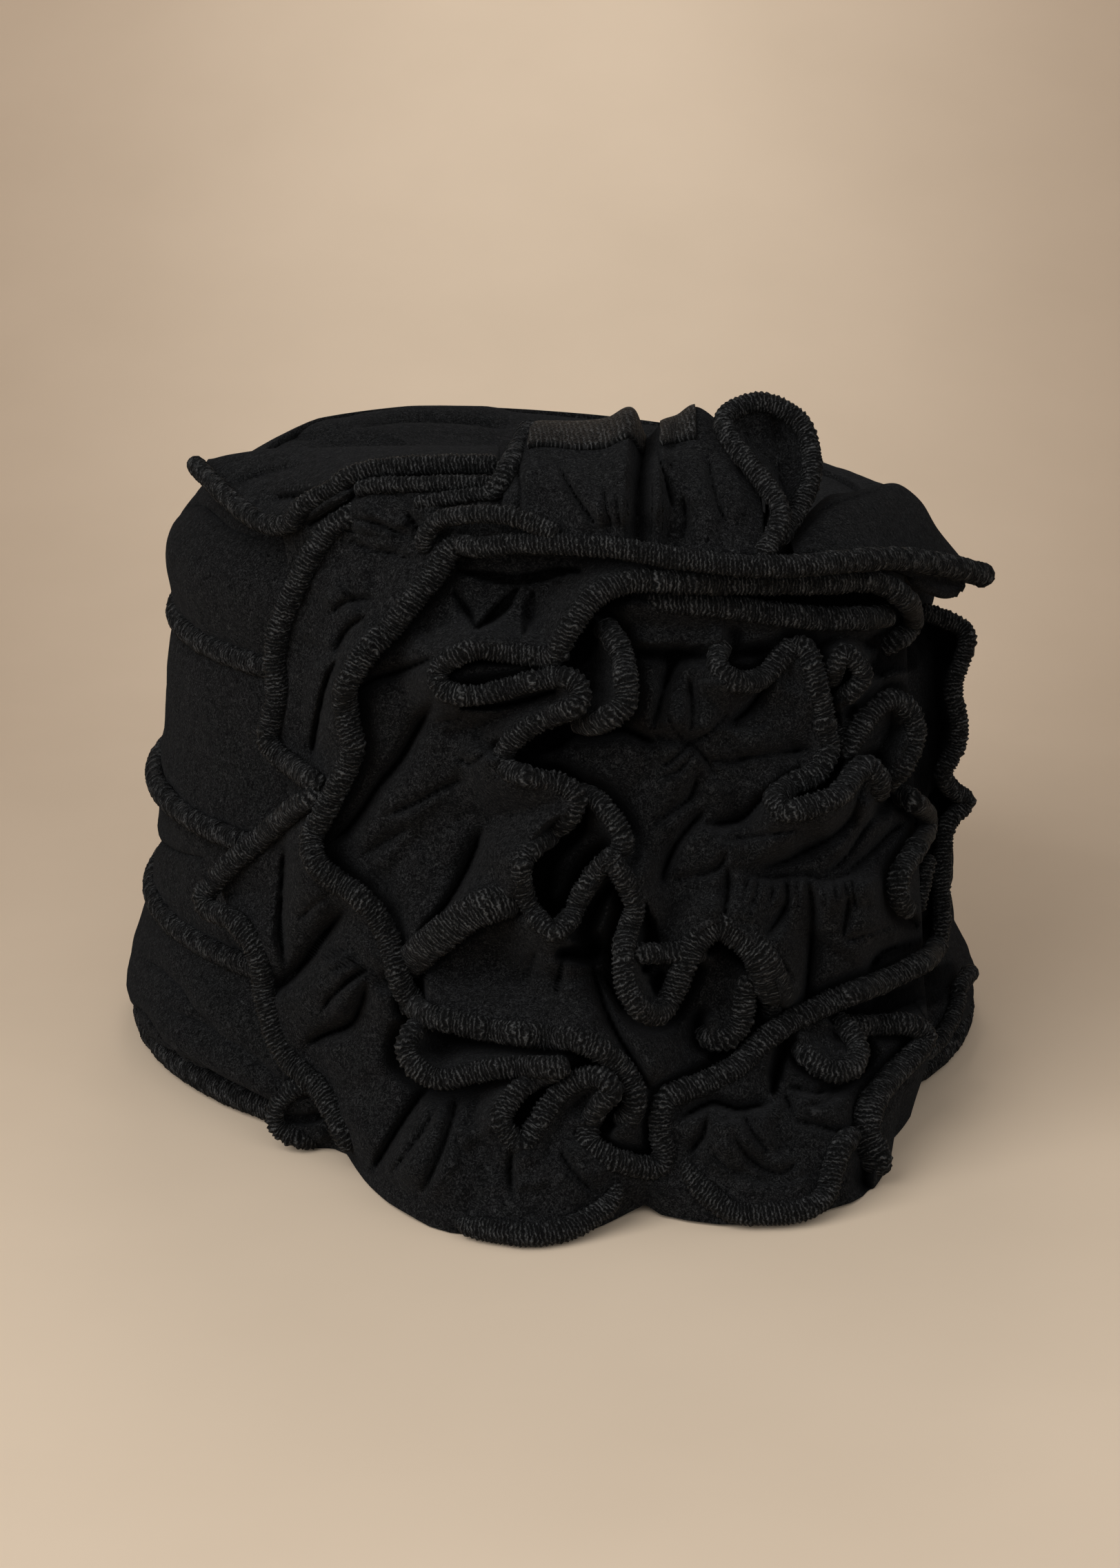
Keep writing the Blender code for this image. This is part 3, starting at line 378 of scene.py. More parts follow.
# Fleece: its curly grain, tufts, broad unevenness and lint, each as noise scale over metres, detail,
# roughness and distortion; then how far in metres and how strongly each raises the surface
CURL = (1100.0, 2.0, 0.62, 2.2)
TUFT = (420.0, 2.0, 0.5, 0.0)
BROAD = (60.0, 3.0, 0.5, 0.0)
LINT = (800.0, 2.0, 0.5, 0.0)
CURL_BUMP = (0.0003, 0.8)
TUFT_BUMP = (0.0004, 0.5)
BROAD_BUMP = (0.0008, 0.35)
CURL_COLOURS = [(0.30, (0.0016, 0.0016, 0.0017)), (0.50, (0.0058, 0.0058, 0.0059)),
                (0.72, (0.0230, 0.0229, 0.0230))]
LINT_COLOURS = [(0.72, (0.0, 0.0, 0.0)), (0.80, (0.020, 0.020, 0.020))]
# Painted shade in folds: the fold mark from 0 to 1, and what the fleece's colour is multiplied by
PAINTED_FOLD_SHADE = [(0.0, (1.0, 1.0, 1.0)), (0.7, (0.15, 0.15, 0.15))]
FLEECE_LOOK = {"Roughness": 0.95, "Specular IOR Level": 0.0, "Sheen Weight": 0.02,
               "Sheen Roughness": 0.5, "Sheen Tint": SHEEN_TINT}

# Yarn: threads wound across the roll, strands and fuzz, patches; how much each adds, and the colours, whose
# palest stops are painted highlight on the proud threads
THREAD_PITCH = 0.85
THREAD_SLANT = 8.0
WAVE_RATE = 20
THREAD_WAVE = {"Distortion": 5.0, "Detail": 2.0, "Detail Scale": 2.6, "Detail Roughness": 0.6}
STRANDS = (1.6, 2.5, 0.6, 1.3)
STRAND_SQUEEZE = (1.0, 0.30, 1.0)
FUZZ = (2200.0, 2.0, 0.6, 0.0)
PATCH = (240.0, 2.0, 0.5, 0.0)
THREAD_SHARE = 0.35
FUZZ_SHARE = 0.35
PATCH_SHARE = 0.20
YARN_GAIN = 0.78
YARN_BUMP = (0.0009, 1.0)
YARN_TONES_AND_HIGHLIGHTS = [(0.60, (0.0012, 0.0012, 0.0012)), (0.74, (0.0040, 0.0040, 0.0040)),
                (0.84, (0.0130, 0.0130, 0.0128)), (0.95, (0.0470, 0.0466, 0.0460))]
YARN_LOOK = {"Roughness": 0.62, "Specular IOR Level": 0.05, "Sheen Weight": 0.02,
             "Sheen Roughness": 0.40, "Sheen Tint": SHEEN_TINT}

# Backdrop paper: grain, colours, and where in metres painted shade of the lights' falloff darkens it aside
# and behind, and how far
PAPER = (12.0, 4.0, 0.5, 0.0)
PAPER_COLOURS = [(0.3, (0.645, 0.510, 0.378)), (0.7, (0.675, 0.535, 0.399))]
PAPER_ASIDE = (0.02, 0.30, 1.0)
PAPER_BEHIND = (-0.30, 0.20, 0.36)
PAPER_FALLOFF_SHADE = (0.10, 0.03, 0.0, 1.0)
PAPER_LOOK = {"Roughness": 0.9, "Specular IOR Level": 0.1}

# Curves: spans between two rows of a table, spacing of a route's points
ROUTE_SPANS = 12
TABLE_SPANS = 10
COARSE_SPANS = 6
ROUTE_STEP = 0.6

# Rounds that find a place on the shell, places measured at once, and a length that counts as nothing
SHELL_ROUNDS = 12
NEAR_CHUNK = 20000
TINY = 1e-6

# Front cloth: spacing of its points, its lowest row, spacing of the rows of the lobes, its top, its widest
# radius, how many rows its left side is smoothed over to each side, and the least height of a terrace
CLOTH_STEP = 0.62
FIRST_ROW = 0.4
LOW_STEP = 0.5
CLOTH_TOP = 137.0
WIDEST_RADIUS = 118
SIDE_SPAN = 5
LEAST_LIFT = 1.0

# Soft swelling of the front cloth: height, size and seed of each wave, and the gap depth that ends it
SOFT_WAVES = [(2.2, 21.0, 1.7), (0.8, 8.0, 4.1)]
SOFT_FADE = 8

# How deep the front cloth may sink: a share of its way to this radius, and never less than the least room
INNER_RADIUS = 99.0
ROOM_SHARE = 0.85
LEAST_ROOM = 2.0
FLOOR_CLEAR = 0.25

# Its left side, turned in: degrees in from the edge, share of the edge's stand-off
TURN_IN = [(3.5, 0.12), (3.0, 0.35), (1.5, 0.62), (-0.5, 0.95)]
TURN_IN_CLEAR = 1.2

# Layers behind an edge: least reach, depth under the roll, the lip on its open side, the gap beside that
LAYER_REACH = 9.0
LAYER_SINK = 0.6
LIP_START = 0.3
LIP_WIDTH = 1.6
GAP_PLACE = 2.6
GAP_WIDTH = 2.2

# Creases, in half widths: their reach, the valley and the swell beside it; their ends as shares of the route
CREASE_REACH = 7
CREASE_MARGIN = 2
CREASE_TAPER = 0.25
CREASE_TIP = 0.2
VALLEY_DEPTH = 1.15
VALLEY_WIDTH = 0.52
SWELL_PLACE = 2.6
SWELL_HEIGHT = 0.55
SWELL_LEAN = 0.3
SWELL_FADE = 2.5
# Depth in millimetres at which the painted shade of a fold is full
FULL_FOLD_SHADE_DEPTH = 7.0

# Hollows: reach in half widths, ends as shares of the route, and the angles where their painted shade on the
# drum fades
HOLLOW_REACH = 3
HOLLOW_MARGIN = 1
HOLLOW_TAPER = 0.3
HOLLOW_TIP = 0.45
HOLLOW_GAIN = 1.5
HOLLOW_END = 76.0
HOLLOW_FADE = 16.0

# Overlocked rolls: spacing and sides, extra width on the cloth side, ribs of thread
ROLL_RADIUS = 2.1
ROLL_STEP = 0.3
ROLL_SIDES = 12
ROLL_BAND = 0.35
RIB_PITCH = 1.0
RIB_HEIGHT = 0.20
RIB_LEAN = 0.9
RIB_SPREAD = 2.6
THREAD_SIZE = 0.55
THREAD_LEAN = 1.2
THREAD_ROUND = 2.5
THREAD_HEIGHT = 0.24
SLOW_SIZE = 6.0
SLOW_SWELL = 0.09
PITCH_DRIFT = 1.6
LEAST_END = 0.0025
ROLL_SEEDS = 97

# Rolls on the front cloth: seat, ends, joins, height over the floor, and how wide ones widen and flatten
SEAT_SPAN = 10
END_SINK = 5.0
END_BLEND = 4.0
ROLL_PROUD = 0.5
ROLL_CLEAR = 2.9
JOIN_STEPS = 6
FRONT_SCALE = 1.13
WIDENING = 3
FLAT_FROM = 4.6
FLAT_RATE = 0.22
FLATTEST = 0.6

# Tiers: spacing of their rows, waves, ripples and puckers round them, share of the height that a seam puckers
TIER_STEP = 0.9
TIER_SEEDS = 89
WAVE_ROUND = 6.0
WAVE_TALL = 16.0
WAVE_DEPTH = 0.9
RIPPLE_FINENESS = 3
RIPPLE_TALL = 7.0
RIPPLE_DEPTH = 0.35
PUCKER_FINENESS = 5
PUCKER_DEPTH = 0.7
SEAM_SHARE = 0.16

# The part of the drum that the camera sees, where sags are cut and sags and hollows get painted shade, and
# how strongly a sag's depth is painted as shade
SEEN_TURN = 0.1
SEEN_LEAST = -0.2
SAG_PAINTED_SHADE = 2

# Points of the seam rolls and of the hem, and what keeps only the level part of a direction
POINTS_PER_DEGREE = 5.2
HEM_STEPS = 1900
LEVEL = np.array([1.0, 1.0, 0.0])

# Crown: spacing of its points, radii where its rise, its roughness and its creases fade
CROWN_STEP = 1.5
CROWN_SIDES = 240
RISE_START = 40.0
RISE_END = 92.0
RISE_FADE = 20.0
ROUGH_SIZE = 24
ROUGH_SEED = 3.3
ROUGH_HEIGHT = 1.6
ROUGH_END = 77.5
ROUGH_FADE = 12
CROWN_CREASE_END = 76
CROWN_CREASE_FADE = 4

# Free ruffles: spans between rails and along them, fine folds, and where creases set in
RAIL_BETWEEN = 14
RAIL_SPANS = 24
RAIL_RIPPLE = 0.9
RAIL_RIPPLE_SIZE = 6.5
RAIL_RIPPLE_SEED = 2.2
RAIL_CREASE_RATE = 4
TOP_SPANS = 20
TOP_CREASE_START = 1

# Free ruffles on the top and right: rails of foot, crest and front, as across, up and forward
LEFT_RUFFLE = [
    ((-80, 76.5, 12), (-83, 78.5, 22), (-84, 77.8, 31)),
    ((-76, 77.0, 16), (-79, 79.3, 30), (-79, 71.0, 50)),
    ((-68, 76.0, 20), (-70, 80.5, 38), (-71, 65.5, 68)),
    ((-62, 76.0, 22), (-64, 80.9, 42), (-64.5, 65.0, 76)),
    ((-57, 76.0, 24), (-58, 81.1, 45), (-58, 69.5, 80)),
    ((-48, 76.0, 27), (-49, 81.5, 48), (-49, 75.5, 82)),
    ((-37, 76.0, 29), (-38, 81.7, 51), (-38, 77.5, 84)),
    ((-25, 76.0, 31), (-26, 81.7, 53), (-26, 78.0, 86)),
    ((-13, 76.0, 33), (-13, 81.6, 55), (-13, 77.5, 87)),
]
TOP_RUFFLE = [
    ((-9, 66.0, 50), (-9, 82.0, 74), (-12, 71.0, 97), (-13, 60.0, 104)),
    ((-5, 66.0, 50), (-5, 86.5, 73), (-7, 74.5, 100), (-7, 58.5, 108)),
    ((-1, 66.0, 50), (0, 87.0, 71), (-1, 75.0, 100), (-2, 58.0, 110)),
    ((5, 66.0, 50), (6, 87.0, 70), (5, 74.0, 102), (5, 57.5, 112)),
    ((12, 66.0, 50), (13, 87.8, 70), (12, 74.0, 102), (12, 57.5, 112)),
    ((17, 66.0, 50), (18.7, 90.2, 72), (17.5, 76.0, 101), (17, 57.0, 112)),
    ((20, 66.0, 42), (22, 83.5, 60), (21, 74.0, 88), (20, 57.0, 104)),
    ((25, 66.0, 46), (26, 87.0, 68), (25.5, 75.0, 98), (24.5, 56.5, 111)),
    ((28, 66.0, 42), (30, 88.5, 65), (28.5, 75.0, 92), (28, 56.5, 106)),
    ((34, 66.0, 44), (34.5, 91.0, 67), (35, 75.0, 94), (35, 56.0, 110)),
    ((41, 66.0, 44), (40, 87.0, 66), (43, 75.0, 94), (43, 55.5, 110)),
    ((49, 66.0, 44), (46, 80.0, 70), (50, 70.0, 94), (51, 55.5, 108)),
]
YOKE = [
    ((-66, 61.5, 70), (-65, 58.0, 71), (-64, 52.0, 71)),
    ((-60, 66.5, 78), (-60, 62.0, 79), (-59, 54.0, 76)),
    ((-50, 73.0, 82), (-50, 66.0, 86), (-49, 55.0, 84)),
    ((-38, 76.0, 83), (-38, 68.0, 91), (-37, 56.0, 91)),
    ((-25, 76.5, 85), (-25, 69.0, 95), (-24, 57.0, 97)),
    ((-13, 76.0, 87), (-13, 68.0, 98), (-12, 56.0, 101)),
    ((0, 74.0, 88), (0, 66.0, 100), (0, 55.0, 103)),
    ((20, 74.0, 84), (20, 66.0, 98), (20, 54.0, 101)),
    ((40, 72.0, 80), (40, 64.0, 92), (40, 52.0, 94)),
    ((56, 62.0, 76), (57, 57.0, 82), (58, 50.0, 84)),
]
WING_RUFFLE = [
    ((56, 60.0, 74), (57, 58.5, 92), (58, 56.0, 104)),
    ((60, 64.0, 70), (61, 62.5, 90), (62, 57.0, 103)),
    ((66, 69.5, 62), (67, 67.5, 84), (67, 55.3, 102)),
    ((72, 70.5, 52), (73, 69.0, 74), (74, 55.8, 96)),
    ((78, 72.0, 42), (79, 70.7, 62), (80, 55.0, 89)),
    ((83, 71.8, 35), (84, 70.5, 52), (86, 50.5, 79.5)),
    ((88, 65.8, 30), (89, 67.2, 44), (91, 47.8, 69.0)),
    ((92, 60.7, 27), (93, 60.8, 38), (95.5, 46.4, 61.0)),
    ((97, 55.4, 27), (98, 54.9, 34), (99.5, 47.8, 51.5)),
]
SIDE_RUFFLE = [
    ((89, 41, -4), (92, 41.5, 24), (88, 41.8, 43)),
    ((89, 39.5, -4), (95, 39.8, 25), (93.5, 40.3, 42)),
    ((89, 37, -4), (98, 37.3, 25), (98.2, 38.0, 42)),
    ((89, 34, -4), (99, 34.0, 26), (99.8, 35.0, 43)),
    ((89, 30, -4), (98, 30.0, 27), (98.8, 30.5, 44)),
    ((89, 25, -4), (95, 25.0, 27), (97.0, 26.0, 45)),
    ((89, 21, -4), (95, 21.0, 27), (96.6, 21.5, 46)),
    ((89, 14, -4), (96, 14.0, 27), (97.9, 15.0, 46)),
    ((89, 8, -4), (95, 8.0, 28), (97.2, 9.0, 46)),
    ((89, 3, -4), (94, 2.5, 28), (94.0, 2.5, 47)),
    ((89, -1, -4), (96, -1.5, 26), (96.5, -1.5, 44)),
    ((89, -5, -4), (98, -4.5, 26), (99.6, -4.3, 42)),
    ((89, -9, -4), (95, -9.5, 28), (95.3, -9.5, 45)),
    ((89, -17, -2), (93.5, -17.0, 29), (94.0, -17.0, 48)),
    ((89, -27, 0), (93.5, -27.0, 30), (93.7, -27.0, 51)),
    ((89, -34, 4), (94, -34.0, 32), (93.8, -33.5, 53)),
    ((89, -40, 8), (94, -40.0, 34), (93.0, -39.0, 54)),
]

# Bands of the top ruffle: name, first and last rail; shares of the rail between which they lie
TOP_BANDS = [("top_ruffle_band", 1, 6), ("top_ruffle_second_band", 7, 9)]
TOP_BAND_SHARE = (0.33, 0.53)
TOP_BAND_PROUD = 0.9
TOP_BAND_WALL = 1.2

# Rolls of the free ruffles and of the lobes at the floor: across, up and forward
LEFT_RUFFLE_ROLL = [
    (-87, 77.5, 29), (-82, 72.5, 46), (-78, 68.5, 56), (-73, 64.5, 67), (-68, 62.5, 73),
    (-63.5, 63, 78), (-61.5, 66, 80), (-58, 69, 81.5), (-53, 71.5, 83), (-50, 74, 84), (-46, 75.5, 84.5),
    (-40, 76.5, 85), (-25, 77.3, 87), (-13, 77, 88.5),
]
TOP_RUFFLE_ROLL = [(-16, 69, 97), (-13, 73, 98), (-10.5, 77.5, 94), (-8, 82, 84), (-5.5, 86.5, 76)]
SECOND_ROLL = [
    (-48, 70.5, 86.5), (-44, 72, 88), (-38, 72.3, 90), (-30, 72.5, 92), (-22, 72.8, 93.5), (-14, 72.5, 95),
]
THIRD_ROLL = [(-34, 67.5, 94), (-28, 68.6, 95.5), (-20, 69.8, 97), (-14, 70.5, 98)]
LONG_TOP_ROLL = [
    (-23, 58.5, 103), (-21, 57.6, 105.5), (-17, 57.2, 108), (-10, 58, 110), (0, 58, 112), (15, 57, 113),
    (30, 54.5, 113), (45, 52.8, 112), (58, 52.7, 109), (70, 53.8, 102), (82, 54.5, 89), (92, 53.3, 73),
    (100, 51.5, 55), (104.5, 50.2, 45),
]
LOOP_ROLL = [
    (50, 54.5, 110.5), (52, 58.0, 108), (54.5, 63, 105), (54.5, 67, 102), (51, 72.5, 98), (47, 77.5, 94.5),
    (43, 82.5, 90), (41, 87, 86), (43.5, 90.5, 82), (50, 92.3, 80), (56.5, 90, 80), (61, 85, 82),
    (62.3, 78, 86), (61.8, 72.5, 90), (59, 66.5, 94), (56, 62, 98), (54.5, 59, 103),
]
LEFT_LOBE_ROLL = [
    (-24, -105.6, 138.2), (-16, -108.4, 141.2), (-7, -109.6, 143.6), (1, -108.4, 142.2), (8, -105.2, 138.6),
    (13.5, -101.3, 135.8), (16, -96.5, 134.4),
]
RIGHT_LOBE_ROLL = [
    (30.5, -91.3, 129.5), (36, -97.8, 132.2), (43, -103.2, 134), (52, -103.8, 134.2), (60, -102.8, 132.6),
    (65.5, -99.4, 129), (67.5, -93, 126), (69.5, -87.5, 122.5), (73, -84, 112),
]
TOP_CURL_ROLL = [
    (-31.5, 56, 99), (-31, 60, 100.5), (-28, 63.5, 102.5), (-22, 65, 106), (-12, 65, 109.5),
    (-4, 62.5, 111.5), (1, 60, 112),
]
LOBE_TAPER = 8.0

# The same rolls: name, nodes that it stands for, radius, length of its thin ends, growth of its radius, line
RAIL_ROLLS = [
    ("edge_left_ruffle_stitched", ("edge_left_ruffle",), ROLL_RADIUS, 0, 0, LEFT_RUFFLE_ROLL),
    ("edge_top_ruffle_stitched", ("edge_top_ruffle",), ROLL_RADIUS, 0, 0, TOP_RUFFLE_ROLL),
    ("edge_second_stitched", (), 1.7, 0, 0, SECOND_ROLL),
    ("edge_third_stitched", (), 1.5, 0, 0, THIRD_ROLL),
    ("edge_top_curl_stitched", (), 1.9, 0, 0, TOP_CURL_ROLL),
    ("edge_long_top_stitched", ("edge_long_top",), ROLL_RADIUS, 0, 0.5, LONG_TOP_ROLL),
    ("edge_loop_stitched", ("edge_loop_ruffle",), ROLL_RADIUS, 0, 0, LOOP_ROLL),
    ("edge_side_stitched", ("edge_side_ruffle",), ROLL_RADIUS, 0, 0, [row[2] for row in SIDE_RUFFLE]),
    ("edge_left_lobe_stitched", ("edge_left_lobe",), 2.4, LOBE_TAPER, 0, LEFT_LOBE_ROLL),
    ("edge_right_lobe_stitched", ("edge_right_lobe",), 2.4, LOBE_TAPER, 0, RIGHT_LOBE_ROLL),
]

# Loop ruffle: the funnel behind its roll, drawn towards the middle by a share, and the lining inside it
LOOP_MIDDLE = (54, 79)
LOOP_STEP = 1.0
LOOP_LAYERS = 16
LOOP_PULL = 0.5
LOOP_BEHIND = 0.5
LOOP_HOLLOW = 9.0
LOOP_SETBACK = 26.0
LINING_END = 0.97
LINING_LAYERS = 26
LINING_BEHIND = 1.0
LINING_RATE = 1.4
LINING_FOLD = 2.5
LINING_FOLD_WIDTH = 1.6
LINING_FOLD_RATE = 3


def to_chart(points):
    """Across, up and depth of points, where depth runs along the camera's middle sight line."""
    ray = points - EYE
    depth = ray @ AWAY
    return CAMERA_ACROSS + ray[..., 0] * SIGHT_DISTANCE / depth, (ray @ UP) * SIGHT_DISTANCE / depth, depth


def from_chart(across, up, depth):
    """The point at this depth on the sight line through a place on the chart."""
    across, up, depth = (np.asarray(value, float)[..., None] for value in (across, up, depth))
    ray = (across - CAMERA_ACROSS) * RIGHT + up * UP + SIGHT_DISTANCE * AWAY
    return EYE + ray * depth / SIGHT_DISTANCE


def at_forward(across, up, forward):
    """The point of the sight line that is this far in front of the drum's axis."""
    ray = from_chart(across, up, np.full(np.shape(across), SIGHT_DISTANCE)) - EYE
    return EYE + ray * ((-np.asarray(forward, float) - EYE[1]) / ray[..., 1])[..., None]


def shell_radius(height):
    """The drum's outside radius at a height."""
    heights, radii = zip(*SHELL)
    return np.interp(height, heights, radii)


def on_shell(across, up, proud):
    """Where the sight line meets the drum, grown outwards by the stand-off."""
    ray = from_chart(across, up, np.full(np.shape(across), SIGHT_DISTANCE)) - EYE
    height = CHART_HEIGHT + np.asarray(up, float)
    for _ in range(SHELL_ROUNDS):
        radius = shell_radius(height) + proud
        a = ray[..., 0] ** 2 + ray[..., 1] ** 2
        b = EYE[0] * ray[..., 0] + EYE[1] * ray[..., 1]
        c = EYE[0] ** 2 + EYE[1] ** 2 - radius ** 2
        inside = np.maximum(b * b - a * c, 0.0)
        points = EYE + ray * ((-b - np.sqrt(inside)) / a)[..., None]
        height = 0.5 * (height + points[..., 2])
    return points


def curve_through(rows, spans):
    """A Catmull-Rom curve through the rows, with this many spans between two rows."""
    rows = np.array(rows, float)
    ends = np.concatenate([[2 * rows[0] - rows[1]], rows, [2 * rows[-1] - rows[-2]]])
    shares = np.linspace(0, 1, spans, endpoint=False).reshape((-1,) + (1,) * (rows.ndim - 1))
    parts = []
    for p0, p1, p2, p3 in zip(ends, ends[1:], ends[2:], ends[3:]):
        parts.append(0.5 * (2 * p1 + (p2 - p0) * shares + (2 * p0 - 5 * p1 + 4 * p2 - p3) * shares ** 2
                            + (3 * p1 - p0 - 3 * p2 + p3) * shares ** 3))
    return np.concatenate(parts + [rows[-1:]])


def evenly(points, step):
    """The same line with points about a step apart."""
    along = np.concatenate([[0], np.cumsum(np.linalg.norm(np.diff(points, axis=0), axis=1))])
    wanted = np.linspace(0, along[-1], max(3, round(along[-1] / step) + 1))
    return np.stack([np.interp(wanted, along, column) for column in points.T], axis=1)


def smooth_route(rows, step):
    """A curve through the rows, with points about a step apart."""
    return evenly(curve_through(rows, ROUTE_SPANS), step)


def ease(value):
    value = np.clip(value, 0, 1)
    return value * value * (3 - 2 * value)


def near_route(across, up, route, reach):
    """For the places within reach of a route: which, how far, on which side (+1 left) and how far along."""
    low, high = route.min(axis=0) - reach, route.max(axis=0) + reach
    inside = (across > low[0]) & (across < high[0]) & (up > low[1]) & (up < high[1])
    where = np.nonzero(inside.ravel())[0]
    travel = np.gradient(route, axis=0)
    distance, side, along = (np.zeros(len(where)) for _ in range(3))
    for start in range(0, len(where), NEAR_CHUNK):
        part = where[start:start + NEAR_CHUNK]
        da = across.ravel()[part][:, None] - route[:, 0]
        du = up.ravel()[part][:, None] - route[:, 1]
        index = np.argmin(da ** 2 + du ** 2, axis=1)
        rows = np.arange(len(part))
        da, du = da[rows, index], du[rows, index]
        chunk = slice(start, start + len(part))
        distance[chunk] = np.hypot(da, du)
        cross = travel[index, 0] * du - travel[index, 1] * da
        reached = np.hypot(travel[index, 0], travel[index, 1]) * np.maximum(distance[chunk], TINY)
        side[chunk] = np.clip(cross / reached, -1, 1)
        along[chunk] = index / (len(route) - 1)
    close = distance < reach
    return where[close], distance[close], side[close], along[close]


def round_axis(turn, radius, height):
    """Points round the drum's axis, with the turn in radians from the front."""
    return np.stack(np.broadcast_arrays(radius * np.sin(turn), -radius * np.cos(turn), height), axis=-1)


def rolled(angle, height, proud):
    """Points at an angle in degrees, a height and a stand-off from the shell."""
    return round_axis(np.radians(angle), shell_radius(height) + proud, height)


def unrolled(points):
    """Points as angle in degrees, height and stand-off from the shell."""
    angle = np.degrees(np.arctan2(points[..., 0], -points[..., 1]))
    return angle, points[..., 2], np.hypot(points[..., 0], points[..., 1]) - shell_radius(points[..., 2])


def floor_stand_off():
    """Angles and stand-offs of the cloth's line on the floor."""
    across, up = np.array(FLOOR_LINE, float).T
    ray = from_chart(across, up, np.full(len(across), SIGHT_DISTANCE)) - EYE
    points = EYE + ray * (-EYE[2] / ray[:, 2])[:, None]
    angle, _, proud = unrolled(points)
    return angle, proud


def base_proud(angle, height):
    """Stand-off of the front cloth before its edges and folds."""
    table = curve_through([(row[0], *row[1]) for row in BASE], TABLE_SPANS)
    angles, columns = table[:, 0], table[:, 1:]
    table = curve_through(np.column_stack([BASE_HEIGHTS, columns.T]), COARSE_SPANS)
    heights, columns = table[:, 0], table[:, 1:]
    stack = np.stack([np.interp(angle, angles, column) for column in columns], axis=-1)
    span = np.interp(height, heights, np.arange(len(heights)))
    low = np.clip(span.astype(int), 0, len(heights) - 2)
    share = span - low
    first = np.take_along_axis(stack, low[..., None], -1)[..., 0]
    second = np.take_along_axis(stack, low[..., None] + 1, -1)[..., 0]
    proud = first + (second - first) * share
    floor_angle, floor_proud = floor_stand_off()
    at_floor = np.interp(angle, floor_angle, floor_proud)
    return proud + (at_floor - proud) * ease(1 - height / LOBE_HEIGHT)


def noise_at(x, y, z):
    """Smooth noise, about from -1 to 1, at places in its own space."""
    places = np.stack(np.broadcast_arrays(x, y, z), axis=-1)
    values = [noise.noise(Vector(place)) for place in places.reshape(-1, 3)]
    return np.array(values).reshape(places.shape[:-1])


def lift_of(route, proud_from, proud_to, base_depth):
    """How far in front of the base cloth each point of a route lies."""
    prouds = np.linspace(proud_from, proud_to, len(route))
    _, _, depth = to_chart(on_shell(route[:, 0], route[:, 1], prouds))
    return np.maximum(base_depth(route[:, 0], route[:, 1]) - depth, LEAST_LIFT)


class DepthMap:
    """Depth of a surface over the chart, on a raster."""

    CELL = 0.5
    LOW = np.array([-115.0, -125.0])
    SHAPE = (460, 460)
    FILL_ROUNDS = 24

    def __init__(self, points):
        across, up, depth = (value.ravel() for value in to_chart(points))
        cells = np.round((np.stack([across, up], axis=1) - self.LOW) / self.CELL).astype(int)
        keep = ((cells >= 0) & (cells < self.SHAPE)).all(axis=1)
        grid = np.full(self.SHAPE, np.inf)
        np.minimum.at(grid, (cells[keep, 0], cells[keep, 1]), depth[keep])
        for _ in range(self.FILL_ROUNDS):
            if np.isfinite(grid).all():
                break
            padded = np.pad(grid, 1, constant_values=np.inf)
            around = np.stack([padded[i:i + self.SHAPE[0], j:j + self.SHAPE[1]]
                               for i in range(3) for j in range(3)])
            known = np.isfinite(around)
            mean = np.where(known, around, 0).sum(axis=0) / np.maximum(known.sum(axis=0), 1)
            grid = np.where(np.isfinite(grid), grid, np.where(known.any(axis=0), mean, np.inf))
        self.grid = np.where(np.isfinite(grid), grid, SIGHT_DISTANCE)

    def __call__(self, across, up):
        x = np.clip((np.asarray(across) - self.LOW[0]) / self.CELL, 0, self.SHAPE[0] - 2)
        y = np.clip((np.asarray(up) - self.LOW[1]) / self.CELL, 0, self.SHAPE[1] - 2)
        i, j = x.astype(int), y.astype(int)
        s, t = x - i, y - j
        g = self.grid
        return ((g[i, j] * (1 - s) + g[i + 1, j] * s) * (1 - t)
                + (g[i, j + 1] * (1 - s) + g[i + 1, j + 1] * s) * t)


def crease_relief(across, up, creases):
    """Valleys along the creases, with the cloth swelling a little beside each."""
    relief = np.zeros(across.size)
    for depth, half_width, rows in creases:
        reach = CREASE_REACH * half_width + CREASE_MARGIN
        where, distance, side, along = near_route(across, up, smooth_route(rows, ROUTE_STEP), reach)
        taper = ease(np.minimum(along, 1 - along) / CREASE_TAPER + CREASE_TIP)
        valley = VALLEY_DEPTH * np.exp(-distance / (VALLEY_WIDTH * half_width))
        pillow = distance / (SWELL_PLACE * half_width)
        swell = SWELL_HEIGHT * pillow * np.exp(1 - pillow) * (1 + SWELL_LEAN * side)
        fade = ease((reach - distance) / (SWELL_FADE * half_width))
        relief[where] += depth * taper * (swell * fade - valley)
    return relief.reshape(across.shape)


def hollow_relief(across, up):
    """The hollows, dug with round floors. On the drum they are not dug but only painted as shade."""
    relief = np.zeros(across.size)
    for depth, half_width, rows in HOLLOWS:
        reach = HOLLOW_REACH * half_width + HOLLOW_MARGIN
        where, distance, _, along = near_route(across, up, smooth_route(rows, ROUTE_STEP), reach)
        taper = ease(np.minimum(along, 1 - along) / HOLLOW_TAPER)
        wide = half_width * (HOLLOW_TIP + (1 - HOLLOW_TIP) * taper)
        relief[where] = np.minimum(relief[where], -HOLLOW_GAIN * depth * np.exp(-(distance / wide) ** 4))
    return relief.reshape(across.shape)


